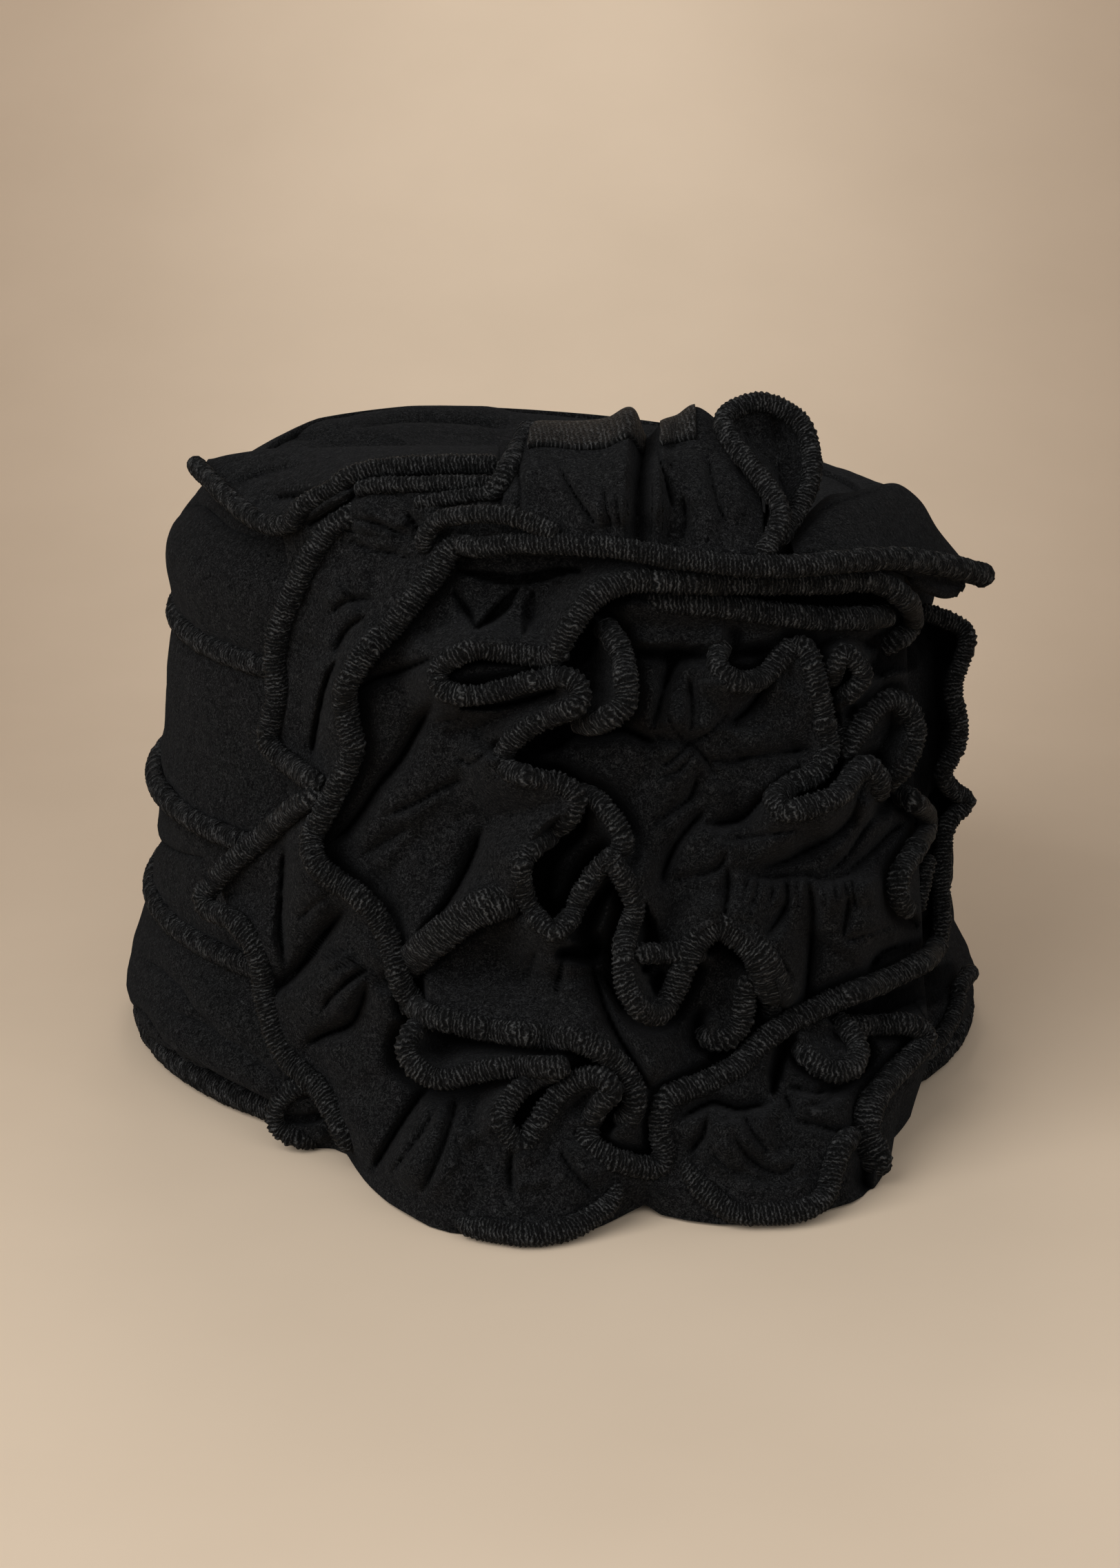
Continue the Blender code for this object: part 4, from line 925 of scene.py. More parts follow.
def layer_relief(across, up, base_depth):
    """Terraces of cloth behind each edge, and the gaps that open beside them."""
    lift = np.zeros(across.size)
    gap = np.zeros(across.size)
    rows = [row[1:6] + row[7:] for row in EDGES]
    for side_name, reach, start, end, depth, route_rows in rows + LAPS:
        route = smooth_route(route_rows, ROUTE_STEP)
        top = lift_of(route, start, end, base_depth)
        where, distance, side, along = near_route(across, up, route, max(reach, LAYER_REACH))
        cloth = ease(0.5 + 0.5 * side * (1 if side_name == "left" else -1))
        height = np.interp(along, np.linspace(0, 1, len(top)), top) - LAYER_SINK
        cloth_part = height * (1 - ease(distance / reach))
        open_part = height * (1 - ease((distance + LIP_START) / LIP_WIDTH))
        lift[where] = np.maximum(lift[where], cloth * cloth_part + (1 - cloth) * open_part)
        dug = depth * np.exp(-((distance - GAP_PLACE) / GAP_WIDTH) ** 2)
        gap[where] = np.maximum(gap[where], (1 - cloth) * dug)
    return (lift - gap).reshape(across.shape)


def linked(name, data):
    """A new object in the scene."""
    obj = bpy.data.objects.new(name, data)
    bpy.context.scene.collection.objects.link(obj)
    return obj


def mesh_object(name, grid, closed_across=False):
    """A smooth mesh through a grid of points."""
    rows, columns = grid.shape[:2]
    index = np.arange(rows * columns).reshape(rows, columns)
    right = np.roll(index, -1, axis=1) if closed_across else index[:, 1:]
    here = index if closed_across else index[:, :-1]
    faces = np.stack([here[:-1], right[:-1], right[1:], here[1:]], axis=-1).reshape(-1, 4)
    data = bpy.data.meshes.new(name)
    data.vertices.add(rows * columns)
    data.vertices.foreach_set("co", (grid.reshape(-1) * MM).astype(np.float32))
    data.loops.add(faces.size)
    data.loops.foreach_set("vertex_index", faces.ravel().astype(np.int32))
    data.polygons.add(len(faces))
    data.polygons.foreach_set("loop_start", np.arange(0, faces.size, 4, dtype=np.int32))
    data.polygons.foreach_set("use_smooth", np.ones(len(faces), bool))
    data.update(calc_edges=True)
    data.validate()
    return linked(name, data)


def with_uv(obj, us, vs):
    """A UV map along and round a piece in millimetres, from one value of each for each vertex."""
    layer = obj.data.uv_layers.new(name="along")
    loops = np.empty(len(obj.data.loops), np.int32)
    obj.data.loops.foreach_get("vertex_index", loops)
    pairs = np.stack([us.ravel()[loops], vs.ravel()[loops]], axis=1)
    layer.data.foreach_set("uv", pairs.ravel().astype(np.float32))


def with_painted_fold_shade(obj, relief):
    """Marks how deep in a fold each vertex lies, from 0 to 1, for the fleece's painted shade in folds."""
    layer = obj.data.attributes.new("fold", "FLOAT", "POINT")
    layer.data.foreach_set("value", np.clip(-relief / FULL_FOLD_SHADE_DEPTH, 0, 1).ravel().astype(np.float32))


def walled(obj, thickness=TIER_WALL, offset=-1):
    """Gives a sheet its wall."""
    wall = obj.modifiers.new("wall", "SOLIDIFY")
    wall.thickness = thickness * MM
    wall.offset = offset


def name_seed(name, most):
    """A seed under most that is always the same for one name."""
    return float(sum(name.encode()) % most)


def dress(obj, material, nodes=()):
    """Gives a piece its material and slot, and the solids that it stands for."""
    obj.data.materials.append(material)
    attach(obj, "root")
    if nodes:
        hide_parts(*nodes)


def roll_mesh(name, centre, outwards, radius, band=0.0, flat=1.0, taper=0.0):
    """An overlocked roll, uneven as wound thread is.

    It is wider on its cloth side by band, flattened to flat, and runs out thin over the taper at its ends.
    """
    travel = np.gradient(centre, axis=0)
    travel /= np.linalg.norm(travel, axis=1)[:, None]
    outwards = outwards - travel * (outwards * travel).sum(axis=1)[:, None]
    outwards /= np.linalg.norm(outwards, axis=1)[:, None]
    across = np.cross(travel, outwards)
    along = np.concatenate([[0], np.cumsum(np.linalg.norm(np.diff(centre, axis=0), axis=1))])
    turns = np.linspace(-np.pi, np.pi, ROLL_SIDES, endpoint=False)
    radius, flat = (np.broadcast_to(value, along.shape)[:, None] for value in (radius, flat))
    seed = name_seed(name, ROLL_SEEDS)
    slow = noise_at(along / SLOW_SIZE, seed, 0.0)
    lean = THREAD_LEAN * np.sin(turns)
    threads = noise_at(along[:, None] / THREAD_SIZE + lean, seed, turns / THREAD_ROUND)
    phase = 2 * np.pi * (along + PITCH_DRIFT * slow) / RIB_PITCH
    ribs = np.cos(phase[:, None] + RIB_LEAN * np.sin(turns) + RIB_SPREAD * threads)
    size = radius * (1 + SLOW_SWELL * slow[:, None]) + THREAD_HEIGHT * threads + RIB_HEIGHT * ribs
    ends = np.clip(np.minimum(along, along[-1] - along)[:, None] / np.maximum(radius, taper), 0.0, 1.0)
    size = size * np.sqrt(np.maximum(1 - (1 - ends) ** 2, LEAST_END))
    sideways = np.sin(turns) * (1 + abs(band) * np.clip(np.sign(band) * np.sin(turns), 0, 1) ** 2)
    ring = outwards[:, None] * flat[..., None] * np.cos(turns)[:, None] + across[:, None] * sideways[:, None]
    obj = mesh_object(name, centre[:, None] + ring * size[..., None], closed_across=True)
    with_uv(obj, np.repeat(along[:, None], ROLL_SIDES, axis=1),
            np.repeat(turns[None] * radius.mean(), len(along), axis=0))
    return obj


def front_sides(rows):
    """Left and right end angle of the front cloth at each height."""
    left = curve_through(LEFT_SIDE, COARSE_SPANS)
    angle, height, _ = unrolled(on_shell(left[:, 0], left[:, 1], left[:, 2]))
    order = np.argsort(height)
    left_angle = np.interp(rows, height[order], angle[order])
    spread = np.ones(2 * SIDE_SPAN + 1)
    left_angle = np.convolve(np.pad(left_angle, SIDE_SPAN, mode="edge"), spread, mode="valid") / len(spread)
    heights, angles = zip(*RIGHT_ANGLES)
    return left_angle, np.interp(rows, heights, angles)


def base_grid():
    """The smooth front cloth as a grid: rows go up, columns from left to right."""
    low, high = np.arange(FIRST_ROW, LOBE_HEIGHT, LOW_STEP), np.arange(LOBE_HEIGHT, CLOTH_TOP, CLOTH_STEP)
    rows = np.concatenate([low, high])
    left, right = front_sides(rows)
    count = int(math.radians((right - left).max()) * WIDEST_RADIUS / CLOTH_STEP)
    shares = np.linspace(0, 1, count)
    angle = left[:, None] + (right - left)[:, None] * shares
    height = np.repeat(rows[:, None], count, axis=1)
    return rolled(angle, height, base_proud(angle, height))


def front_surface():
    """The points of the front cloth with its layers, creases and hollows, and the depth of its folds, for
    their painted shade.
    """
    base = base_grid()
    across, up, depth = to_chart(base)
    layers = layer_relief(across, up, DepthMap(base))
    creases = crease_relief(across, up, CREASES)
    hollows = hollow_relief(across, up)
    soft = sum(height * noise_at(across / size, up / size, seed) for height, size, seed in SOFT_WAVES)
    relief = layers + creases + hollows + soft * ease((layers + SOFT_FADE) / SOFT_FADE)
    room = ROOM_SHARE * (INNER_RADIUS - np.hypot(base[..., 0], base[..., 1]))
    relief = np.maximum(relief, np.minimum(room, -LEAST_ROOM))
    points = from_chart(across, up, depth - relief)
    points[..., 2] = np.maximum(points[..., 2], FLOOR_CLEAR)
    return points, np.minimum(creases, 0) + np.minimum(hollows, 0) + np.minimum(layers, 0)


def turned_in(points):
    """The left side of the cloth turned in under itself, towards the drum."""
    angle, height, proud = unrolled(points[:, 0])
    columns = [rolled(angle + turn, height, TURN_IN_CLEAR + (proud - TURN_IN_CLEAR) * share)
               for turn, share in TURN_IN]
    return np.concatenate([np.stack(columns, axis=1), points], axis=1)


def front_cloth(material):
    """The gathered cloth over the front, and how its depth reads on the chart."""
    points, folds = front_surface()
    sheet = turned_in(points)
    obj = mesh_object("front_cloth", sheet)
    # Painted shade in the folds, creases and hollows, by the fold mark; none on the turned-in part
    with_painted_fold_shade(obj, np.pad(folds, ((0, 0), (sheet.shape[1] - folds.shape[1], 0))))
    dress(obj, material, ("front_cover",))
    return DepthMap(points)


def smooth_seat(seat):
    """The nearest depth about each point of a line, smoothed along it."""
    span = 2 * SEAT_SPAN + 1
    padded = np.pad(seat, SEAT_SPAN, mode="edge")
    nearest = np.stack([padded[shift:shift + len(seat)] for shift in range(span)]).min(axis=0)
    return np.convolve(np.pad(nearest, SEAT_SPAN, mode="edge"), np.ones(span) / span, mode="valid")


def end_depths(seats):
    """The depth of each end of an edge, shared where ends meet and sunk elsewhere, and the joins."""
    places = [(tuple(row[-1][end]), seats[row[0]][end]) for row in EDGES for end in (0, -1)]
    places += [((across, up), to_chart(at_forward(across, up, forward))[2]) for across, up, forward in RUN_ON]
    settled, joined = {}, set()
    for place, depth in places:
        shared = [other for spot, other in places if spot == place]
        settled[place] = np.mean(shared) if len(shared) > 1 else depth + END_SINK
        if len(shared) > 1:
            joined.add(place)
    return settled, joined


def run_past(centre, at_start, at_end):
    """The line carried on straight past those of its ends that join another."""
    steps = np.arange(1, JOIN_STEPS + 1)[:, None]
    before = (centre[0] + steps * (centre[0] - centre[1]))[::-1] if at_start else centre[:0]
    after = centre[-1] + steps * (centre[-1] - centre[-2]) if at_end else centre[:0]
    return np.concatenate([before, centre, after])


def front_rolls(material, surface):
    """The overlocked edges, each laid on the cloth that it finishes."""
    routes = {row[0]: smooth_route(row[-1], ROLL_STEP) for row in EDGES}
    seats = {name: smooth_seat(surface(route[:, 0], route[:, 1])) for name, route in routes.items()}
    settled, joined = end_depths(seats)
    for name, side, _, _, _, _, width, rows in EDGES:
        route, seat = routes[name], seats[name]
        reached = np.arange(len(route)) * ROLL_STEP
        start = (settled[tuple(rows[0])] - seat[0]) * np.exp(-(reached / END_BLEND) ** 2)
        end = (settled[tuple(rows[-1])] - seat[-1]) * np.exp(-(reached[::-1] / END_BLEND) ** 2)
        centre = from_chart(route[:, 0], route[:, 1], seat - ROLL_PROUD + start + end)
        centre[:, 2] = np.maximum(centre[:, 2], ROLL_CLEAR)
        centre = run_past(centre, tuple(rows[0]) in joined, tuple(rows[-1]) in joined)
        band = ROLL_BAND if side == "left" else -ROLL_BAND
        first, last = np.broadcast_to(width, 2)
        widths = first + (last - first) * np.linspace(0, 1, len(centre)) ** WIDENING
        flat = np.clip(1 - FLAT_RATE * (widths - FLAT_FROM), FLATTEST, 1.0)
        obj = roll_mesh(name + "_stitched", centre, EYE - centre, widths / 2 / FRONT_SCALE, band, flat)
        dress(obj, material, () if name in ADDED_EDGES else (name,))


def drum_edges(material):
    """Short overlocked edges that show beside the front cloth."""
    for name, proud, width, rows in DRUM_EDGES:
        route = smooth_route(rows, ROLL_STEP)
        centre = on_shell(route[:, 0], route[:, 1], proud)
        dress(roll_mesh(name + "_stitched", centre, EYE - centre, width / 2 / FRONT_SCALE), material)


def crown_rise(x, y):
    """How much higher the top stands than its even profile, at these places."""
    angles, rises = zip(*CROWN_RISE)
    rise = np.interp(np.degrees(np.arctan2(x, -y)), angles, rises)
    reach = np.hypot(x, y)
    return rise * ease((RISE_END - reach) / RISE_FADE) * ease(reach / RISE_START)


def tier(name, profile, material):
    """One tier of the drum: a puffed ring of cloth, turned in at its top and bottom."""
    rows = evenly(curve_through([(radius, height) for height, radius in profile], ROUTE_SPANS), TIER_STEP)
    turn = np.linspace(0, 2 * np.pi, RING_STEPS, endpoint=False)
    radius, height = rows[:, :1] + 0 * turn, rows[:, 1:] + 0 * turn
    share = np.linspace(0, 1, len(rows))[:, None]
    puff = np.sin(np.pi * share)
    seed = name_seed(name, TIER_SEEDS)
    x, y = WAVE_ROUND * np.cos(turn), WAVE_ROUND * np.sin(turn)
    wave = noise_at(x, y, height / WAVE_TALL + seed)
    ripple = noise_at(RIPPLE_FINENESS * x, RIPPLE_FINENESS * y, height / RIPPLE_TALL + seed)
    pucker = noise_at(PUCKER_FINENESS * x, PUCKER_FINENESS * y, seed)
    seam = np.exp(-((1 - share) / SEAM_SHARE) ** 2)
    if name != "drum_tier_1":
        seam = seam + np.exp(-(share / SEAM_SHARE) ** 2)
    radius = radius + puff * (WAVE_DEPTH * wave + RIPPLE_DEPTH * ripple) + PUCKER_DEPTH * seam * pucker
    if name == "drum_tier_4":
        angle, spread, middle, reach, depth = TUCK
        round_there = np.exp(-((np.degrees(turn) - angle) / spread) ** 2)
        radius = radius - depth * round_there * np.exp(-((height - middle) / reach) ** 2)
    if name == "drum_tier_1":
        height = height + crown_rise(radius * np.sin(turn), -radius * np.cos(turn))
    points = round_axis(turn, radius, height)
    across, up, _ = to_chart(points)
    seen = np.cos(turn - SEEN_TURN) > SEEN_LEAST
    sags = crease_relief(across, up, DRUM_CREASES) * seen
    points[..., :2] *= (1 + sags / radius)[..., None]
    obj = mesh_object(name + "_cloth", points, closed_across=True)
    # Painted shade on the drum: its sags, and the front cloth's hollows, which are not dug into the drum,
    # fading out round its side
    beside = ease((HOLLOW_END - np.degrees(turn)) / HOLLOW_FADE)
    with_painted_fold_shade(obj, SAG_PAINTED_SHADE * np.minimum(sags, 0) + hollow_relief(across, up) * seen * beside)
    walled(obj)
    dress(obj, material, (name,))


def ring_arc(height, radius, start, end):
    """A line round the drum at one height, from one angle to another, in degrees from the front."""
    turn = np.radians(np.linspace(start, end, int(abs(end - start) * POINTS_PER_DEGREE)))
    return round_axis(turn, radius, height)


def welt_rolls(material):
    """The seam rolls between the tiers."""
    for name, height, radius, last in WELTS:
        centre = ring_arc(height, radius, WELT_START, 360.0 + last)
        obj = roll_mesh(name + "_stitched", centre, centre * LEVEL, WELT_RADIUS, taper=WELT_TAPER)
        dress(obj, material, (name,))


def hem(material):
    """The overlocked rim that the hat stands on."""
    turn = np.linspace(0, 2 * np.pi, HEM_STEPS, endpoint=False)
    centre = round_axis(turn, HEM_RADIUS, HEM_HEIGHT)
    centre = np.concatenate([centre, centre[:1]])
    dress(roll_mesh("hem_stitched", centre, centre * LEVEL, HEM_ROLL), material, ("hem_roll",))


def crown(material):
    """The soft top, sunk in its middle and higher at its left."""
    profile = evenly(curve_through(CROWN, TABLE_SPANS), CROWN_STEP)
    turn = np.linspace(0, 2 * np.pi, CROWN_SIDES, endpoint=False)
    radius, height = profile[:, :1] + 0 * turn, profile[:, 1:] + 0 * turn
    x, y = radius * np.sin(turn), -radius * np.cos(turn)
    rough = noise_at(x / ROUGH_SIZE, y / ROUGH_SIZE, ROUGH_SEED)
    level = np.clip((ROUGH_END - radius) / ROUGH_FADE, 0, 1)
    height = height + ROUGH_HEIGHT * rough * level + crown_rise(x, y)
    points = np.stack([x, y, height], axis=-1)[:, ::-1]
    across, up, _ = to_chart(points)
    creases = crease_relief(across, up, CROWN_CREASES) * ease((CROWN_CREASE_END - radius) / CROWN_CREASE_FADE)
    points[..., 2] += creases
    obj = mesh_object("crown_cloth", points, closed_across=True)
    # Painted shade in the creases, by the fold mark
    with_painted_fold_shade(obj, creases)
    walled(obj)
    dress(obj, material, ("crown_top",))


def rails_surface(rows, between, along):
    """A smooth sheet through rows of rail points, each given as across, up and forward."""
    rails = curve_through(rows, between)
    sheet = np.stack([curve_through(row, along) for row in rails])
    return at_forward(sheet[..., 0], sheet[..., 1], sheet[..., 2])


def rail_cloth(name, rows, nodes, material, along=RAIL_SPANS, crease_start=0.0):
    """A free ruffle: a smooth sheet over its rails, with fine folds along them. Gives the sheet's points."""
    points = rails_surface(rows, RAIL_BETWEEN, along)
    across, up, depth = to_chart(points)
    share = np.linspace(0, 1, points.shape[1])
    rough = noise_at(across / RAIL_RIPPLE_SIZE, up / RAIL_RIPPLE_SIZE, RAIL_RIPPLE_SEED)
    ripple = RAIL_RIPPLE * rough * np.sin(np.pi * share)
    creases = crease_relief(across, up, RUFFLE_CREASES[name]) * ease(RAIL_CREASE_RATE * share - crease_start)
    points = from_chart(across, up, depth - ripple - creases)
    obj = mesh_object(name, points)
    # Painted shade in the creases, by the fold mark
    with_painted_fold_shade(obj, creases)
    walled(obj)
    dress(obj, material, nodes)
    return points


def rail_roll(name, rows, nodes, radius, material, taper=0.0, growth=0.0):
    """An overlocked roll of a free ruffle."""
    rows = np.array(rows, float)
    centre = evenly(curve_through(at_forward(*rows.T), ROUTE_SPANS), ROLL_STEP)
    centre[:, 2] = np.maximum(centre[:, 2], ROLL_CLEAR)
    radii = radius + growth * np.linspace(0, 1, len(centre))
    dress(roll_mesh(name, centre, EYE - centre, radii, taper=taper), material, nodes)


def loop_ring():
    """The line of the loop ruffle's roll, closed."""
    return evenly(curve_through(LOOP_ROLL + [LOOP_ROLL[0]], TABLE_SPANS), LOOP_STEP)


def loop_cloth(material):
    """The ruffle that stands up in a ring: a funnel of cloth behind its roll."""
    ring = loop_ring()
    middle = np.array(LOOP_MIDDLE)
    layers = []
    for share in np.linspace(0, 1, LOOP_LAYERS):
        drawn = ring[:, :2] + (middle - ring[:, :2]) * ease(share) * LOOP_PULL
        layers.append(at_forward(drawn[:, 0], drawn[:, 1], ring[:, 2] - LOOP_BEHIND - LOOP_SETBACK * share))
    obj = mesh_object("loop_cloth", np.stack(layers)[::-1])
    walled(obj, offset=0)
    dress(obj, material, ("loop_ruffle",))


def loop_lining(material):
    """The cloth seen inside the ring, drawn back a little to a fold up its middle."""
    ring = loop_ring()
    middle = np.array([*LOOP_MIDDLE, ring[:, 2].mean()])
    layers = []
    for share in np.linspace(0, LINING_END, LINING_LAYERS):
        spot = ring + (middle - ring) * share
        fold = LINING_FOLD * np.exp(-((spot[:, 0] - middle[0]) / LINING_FOLD_WIDTH) ** 2)
        back = LINING_BEHIND + LOOP_HOLLOW * ease(share * LINING_RATE) + fold * ease(share * LINING_FOLD_RATE)
        layers.append(at_forward(spot[:, 0], spot[:, 1], spot[:, 2] - back))
    dress(mesh_object("loop_lining", np.stack(layers)), material)


def top_ruffle(fleece, yarn):
    """The standing ruffle at the top, with broad overlocked bands along its upper edge."""
    points = rail_cloth("top_ruffle_cloth", TOP_RUFFLE, ("top_ruffle",), fleece, TOP_SPANS, TOP_CREASE_START)
    first, last = (round(edge * (points.shape[1] - 1)) for edge in TOP_BAND_SHARE)
    for name, start, end in TOP_BANDS:
        strip = points[RAIL_BETWEEN * start:RAIL_BETWEEN * end, first:last + 1]
        across, up, depth = to_chart(strip)
        band = mesh_object(name, from_chart(across, up, depth - TOP_BAND_PROUD))
        rows = np.arange(strip.shape[0])[:, None] * np.linalg.norm(strip[1, 0] - strip[0, 0])
        columns = np.arange(strip.shape[1])[None] * np.linalg.norm(strip[0, 1] - strip[0, 0])
        with_uv(band, rows + 0 * columns, columns + 0 * rows)
        walled(band, TOP_BAND_WALL, 0)
        dress(band, yarn)


def shader(name):
    """A material, its node tree and its surface shader."""
    material = bpy.data.materials.new(name)
    material.use_nodes = True
    return material, material.node_tree, material.node_tree.nodes["Principled BSDF"]


def fill(tree, made, inputs):
    """Links each input of a node to a socket, or sets it to a value."""
    for key, value in inputs.items():
        if isinstance(value, bpy.types.NodeSocket):
            tree.links.new(value, made.inputs[key])
        else:
            made.inputs[key].default_value = value


def node(tree, kind, inputs=None):
    """A new shader node."""
    made = tree.nodes.new("ShaderNode" + kind)
    fill(tree, made, inputs or {})
    return made


def noise_value(tree, source, grain):
    """Noise over the source's space."""
    inputs = dict(zip(("Scale", "Detail", "Roughness", "Distortion"), grain))
    return node(tree, "TexNoise", {"Vector": source, **inputs}).outputs["Fac"]


def maths(tree, operation, *values):
    """The result of a sum on sockets and numbers."""
    made = tree.nodes.new("ShaderNodeMath")
    made.operation = operation
    fill(tree, made, dict(enumerate(values)))
    return made.outputs["Value"]


def mixed_colour(tree, blend, first, second, factor):
    """Two colours blended."""
    made = tree.nodes.new("ShaderNodeMix")
    made.data_type = "RGBA"
    made.blend_type = blend
    fill(tree, made, {"Factor": factor, "A": first, "B": second})
    return made.outputs["Result"]


def smooth_range(tree, value, low, high, top):
    """The value eased from 0 at low to top at high."""
    made = node(tree, "MapRange", {"Value": value, "From Min": low, "From Max": high, "To Max": top})
    made.interpolation_type = "SMOOTHSTEP"
    return made.outputs["Result"]


def bump(tree, source, distance, strength, before=None):
    """A normal raised by the source, over another normal if one is given."""
    made = node(tree, "Bump", {"Height": source, "Distance": distance, "Strength": strength})
    if before is not None:
        tree.links.new(before, made.inputs["Normal"])
    return made.outputs["Normal"]


def ramp_node(tree, source, stops):
    """A colour ramp through these places and colours."""
    made = node(tree, "ValToRGB", {"Fac": source})
    ramp = made.color_ramp
    for element, (place, colour) in zip((ramp.elements[0], ramp.elements[1]), (stops[0], stops[-1])):
        element.position = place
        element.color = (*colour, 1.0)
    for place, colour in stops[1:-1]:
        ramp.elements.new(place).color = (*colour, 1.0)
    return made.outputs["Color"]


def fleece_material():
    """Black brushed knit: curly grain with a soft sheen and faint lint, and painted shade that darkens it in
    deep folds.
    """
    material, tree, surface = shader("black_fleece")
    place = node(tree, "TexCoord").outputs["Object"]
    curl, tuft, broad, lint = (noise_value(tree, place, grain) for grain in (CURL, TUFT, BROAD, LINT))
    fold = node(tree, "Attribute")
    fold.attribute_name = "fold"
    flecked = mixed_colour(tree, "ADD", ramp_node(tree, curl, CURL_COLOURS),
                           ramp_node(tree, lint, LINT_COLOURS), 1.0)
    # Painted shade: the colour darkens by the fold mark, most in deep folds
    painted_shade = ramp_node(tree, fold.outputs["Fac"], PAINTED_FOLD_SHADE)
    normal = bump(tree, broad, *BROAD_BUMP)
    normal = bump(tree, tuft, *TUFT_BUMP, normal)
    normal = bump(tree, curl, *CURL_BUMP, normal)
    fill(tree, surface, {"Base Color": mixed_colour(tree, "MULTIPLY", flecked, painted_shade, 1.0),
                         "Normal": normal, **FLEECE_LOOK})
    return material


def yarn_material():
    """Black overlock thread: uneven strands across the roll, with painted highlight where they stand proud.
    """
    material, tree, surface = shader("black_yarn")
    uv = node(tree, "UVMap")
    uv.uv_map = "along"
    along = uv.outputs["UV"]
    slant = node(tree, "Mapping", {"Vector": along, "Rotation": (0.0, 0.0, math.radians(THREAD_SLANT))})
    rate = 2 * math.pi / (WAVE_RATE * THREAD_PITCH)
    threads = node(tree, "TexWave", {"Vector": slant.outputs["Vector"], "Scale": rate, **THREAD_WAVE})
    squeeze = node(tree, "Mapping", {"Vector": along, "Scale": STRAND_SQUEEZE})
    strands = noise_value(tree, squeeze.outputs["Vector"], STRANDS)
    place = node(tree, "TexCoord").outputs["Object"]
    wound = maths(tree, "MULTIPLY_ADD", threads.outputs["Fac"], THREAD_SHARE, strands)
    fuzzy = maths(tree, "MULTIPLY_ADD", noise_value(tree, place, FUZZ), FUZZ_SHARE, wound)
    uneven = maths(tree, "MULTIPLY_ADD", noise_value(tree, place, PATCH), PATCH_SHARE, fuzzy)
    # Tone varies at random along the strands and patches, and rises to a painted highlight where the threads
    # stand proud
    colour = ramp_node(tree, maths(tree, "MULTIPLY", uneven, YARN_GAIN), YARN_TONES_AND_HIGHLIGHTS)
    fill(tree, surface, {"Base Color": colour, "Normal": bump(tree, fuzzy, *YARN_BUMP), **YARN_LOOK})
    return material


def backdrop_material():
    """Warm beige paper with painted shade of the lights' falloff towards its sides, behind the hat."""
    material, tree, surface = shader("backdrop_paper")
    place = node(tree, "TexCoord").outputs["Object"]
    colour = ramp_node(tree, noise_value(tree, place, PAPER), PAPER_COLOURS)
    apart = node(tree, "SeparateXYZ", {"Vector": place}).outputs
    # Painted shade: the lights' falloff towards the sides at the back
    aside = smooth_range(tree, maths(tree, "ABSOLUTE", apart["X"]), *PAPER_ASIDE)
    behind = smooth_range(tree, apart["Y"], *PAPER_BEHIND)
    falloff_shaded = mixed_colour(tree, "MIX", colour, PAPER_FALLOFF_SHADE, maths(tree, "MULTIPLY", aside, behind))
    fill(tree, surface, {"Base Color": falloff_shaded, **PAPER_LOOK})
    return material


def sweep(material):
    """A seamless floor that curves up into the wall behind the hat."""
    turn = np.radians(np.linspace(0, SWEEP_TURN, SWEEP_STEPS))
    bend = np.stack([SWEEP_START + SWEEP_RADIUS * np.sin(turn), SWEEP_RADIUS * (1 - np.cos(turn))], axis=1)
    top = bend[-1:] + SWEEP_RISE * np.array([[math.cos(turn[-1]), math.sin(turn[-1])]])
    line = np.concatenate([[(SWEEP_FRONT, 0.0)], bend, top])
    across = np.linspace(-SWEEP_SIDE, SWEEP_SIDE, SWEEP_COLUMNS)
    points = np.stack([across + 0 * line[:, :1], line[:, :1] + 0 * across, line[:, 1:] + 0 * across], axis=-1)
    obj = mesh_object("backdrop", points)
    obj.data.materials.append(material)


def facing(name, data, place, direction):
    """A new object at a place in metres, turned to face along a direction."""
    obj = linked(name, data)
    obj.location = place
    obj.rotation_euler = Vector(direction).to_track_quat("-Z", "Y").to_euler()
    return obj


def area_light(name, place, aim, size, power, colour):
    """A soft light that faces its aim."""
    data = bpy.data.lights.new(name, "AREA")
    data.shape = "RECTANGLE"
    data.size, data.size_y = size
    data.energy = power
    data.color = colour
    facing(name, data, place, Vector(aim) - Vector(place))


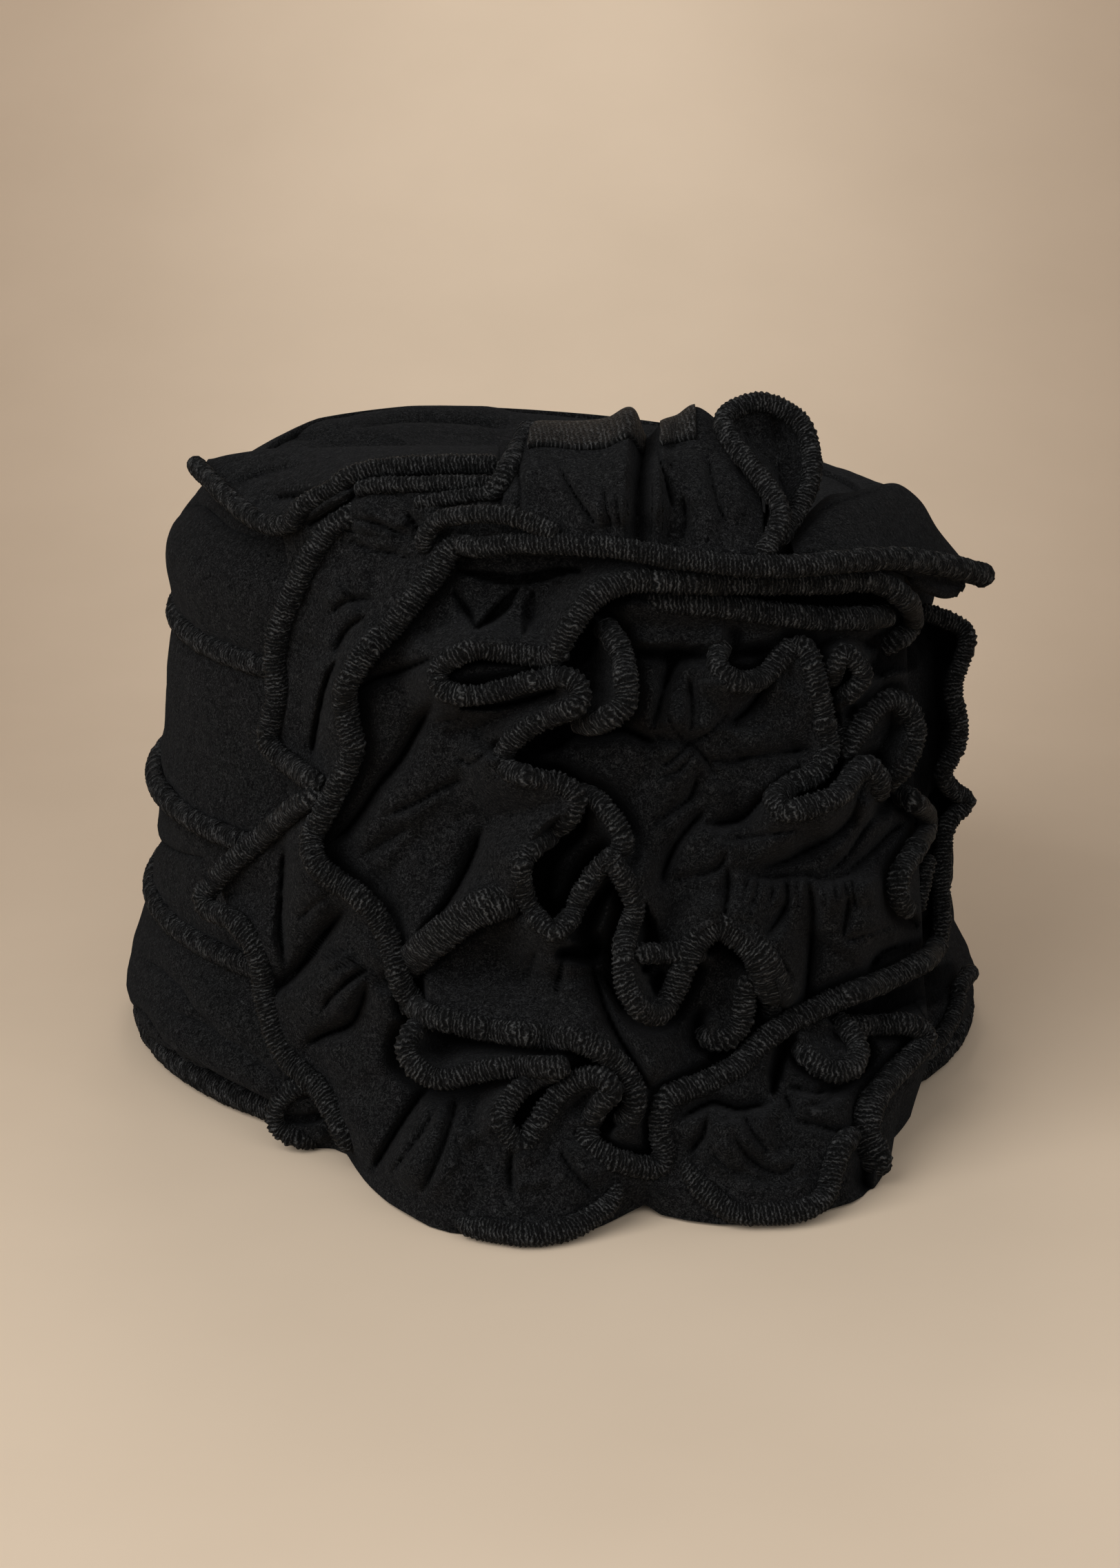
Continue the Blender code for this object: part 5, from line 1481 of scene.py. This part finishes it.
def lights():
    """Three soft lights and a pale room."""
    for name, place, aim, size, power, colour in LIGHTS:
        area_light(name, place, aim, size, power, colour)
    world = bpy.data.worlds.new("room")
    world.use_nodes = True
    tree = world.node_tree
    fill(tree, tree.nodes["Background"], {"Color": ROOM_COLOUR, "Strength": ROOM_STRENGTH})
    bpy.context.scene.world = world


def camera():
    """The camera of the photo."""
    data = bpy.data.cameras.new("camera")
    data.lens = LENS
    data.sensor_width = SENSOR
    data.clip_start = CLIP_START
    bpy.context.scene.camera = facing("camera", data, EYE * MM, AWAY)


def drum(fleece, yarn):
    """The tiers, the crown, and the rolls that go round them."""
    for name, profile in TIERS:
        tier(name, profile, fleece)
    crown(fleece)
    welt_rolls(yarn)
    drum_edges(yarn)
    hem(yarn)


def free_ruffles(fleece, yarn):
    """The cloths that stand free of the drum, and their rolls."""
    rail_cloth("left_ruffle_cloth", LEFT_RUFFLE, ("left_ruffle",), fleece)
    top_ruffle(fleece, yarn)
    rail_cloth("yoke_cloth", YOKE, (), fleece)
    rail_cloth("wing_ruffle_cloth", WING_RUFFLE, ("wing_ruffle",), fleece)
    rail_cloth("side_ruffle_cloth", SIDE_RUFFLE, ("side_ruffle",), fleece)
    loop_cloth(fleece)
    loop_lining(fleece)
    for name, nodes, radius, taper, growth, rows in RAIL_ROLLS:
        rail_roll(name, rows, nodes, radius, yarn, taper, growth)


def build_scene():
    camera()
    sweep(backdrop_material())
    lights()
    bpy.context.scene.view_settings.view_transform = "Standard"
    fleece, yarn = fleece_material(), yarn_material()
    drum(fleece, yarn)
    front_rolls(yarn, front_cloth(fleece))
    free_ruffles(fleece, yarn)


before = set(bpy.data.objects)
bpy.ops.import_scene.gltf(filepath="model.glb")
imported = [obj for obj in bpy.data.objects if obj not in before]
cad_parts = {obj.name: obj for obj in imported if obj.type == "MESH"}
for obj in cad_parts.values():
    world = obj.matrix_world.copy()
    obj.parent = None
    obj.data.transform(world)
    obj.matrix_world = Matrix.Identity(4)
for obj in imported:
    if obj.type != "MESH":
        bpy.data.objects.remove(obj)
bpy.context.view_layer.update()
build_scene()
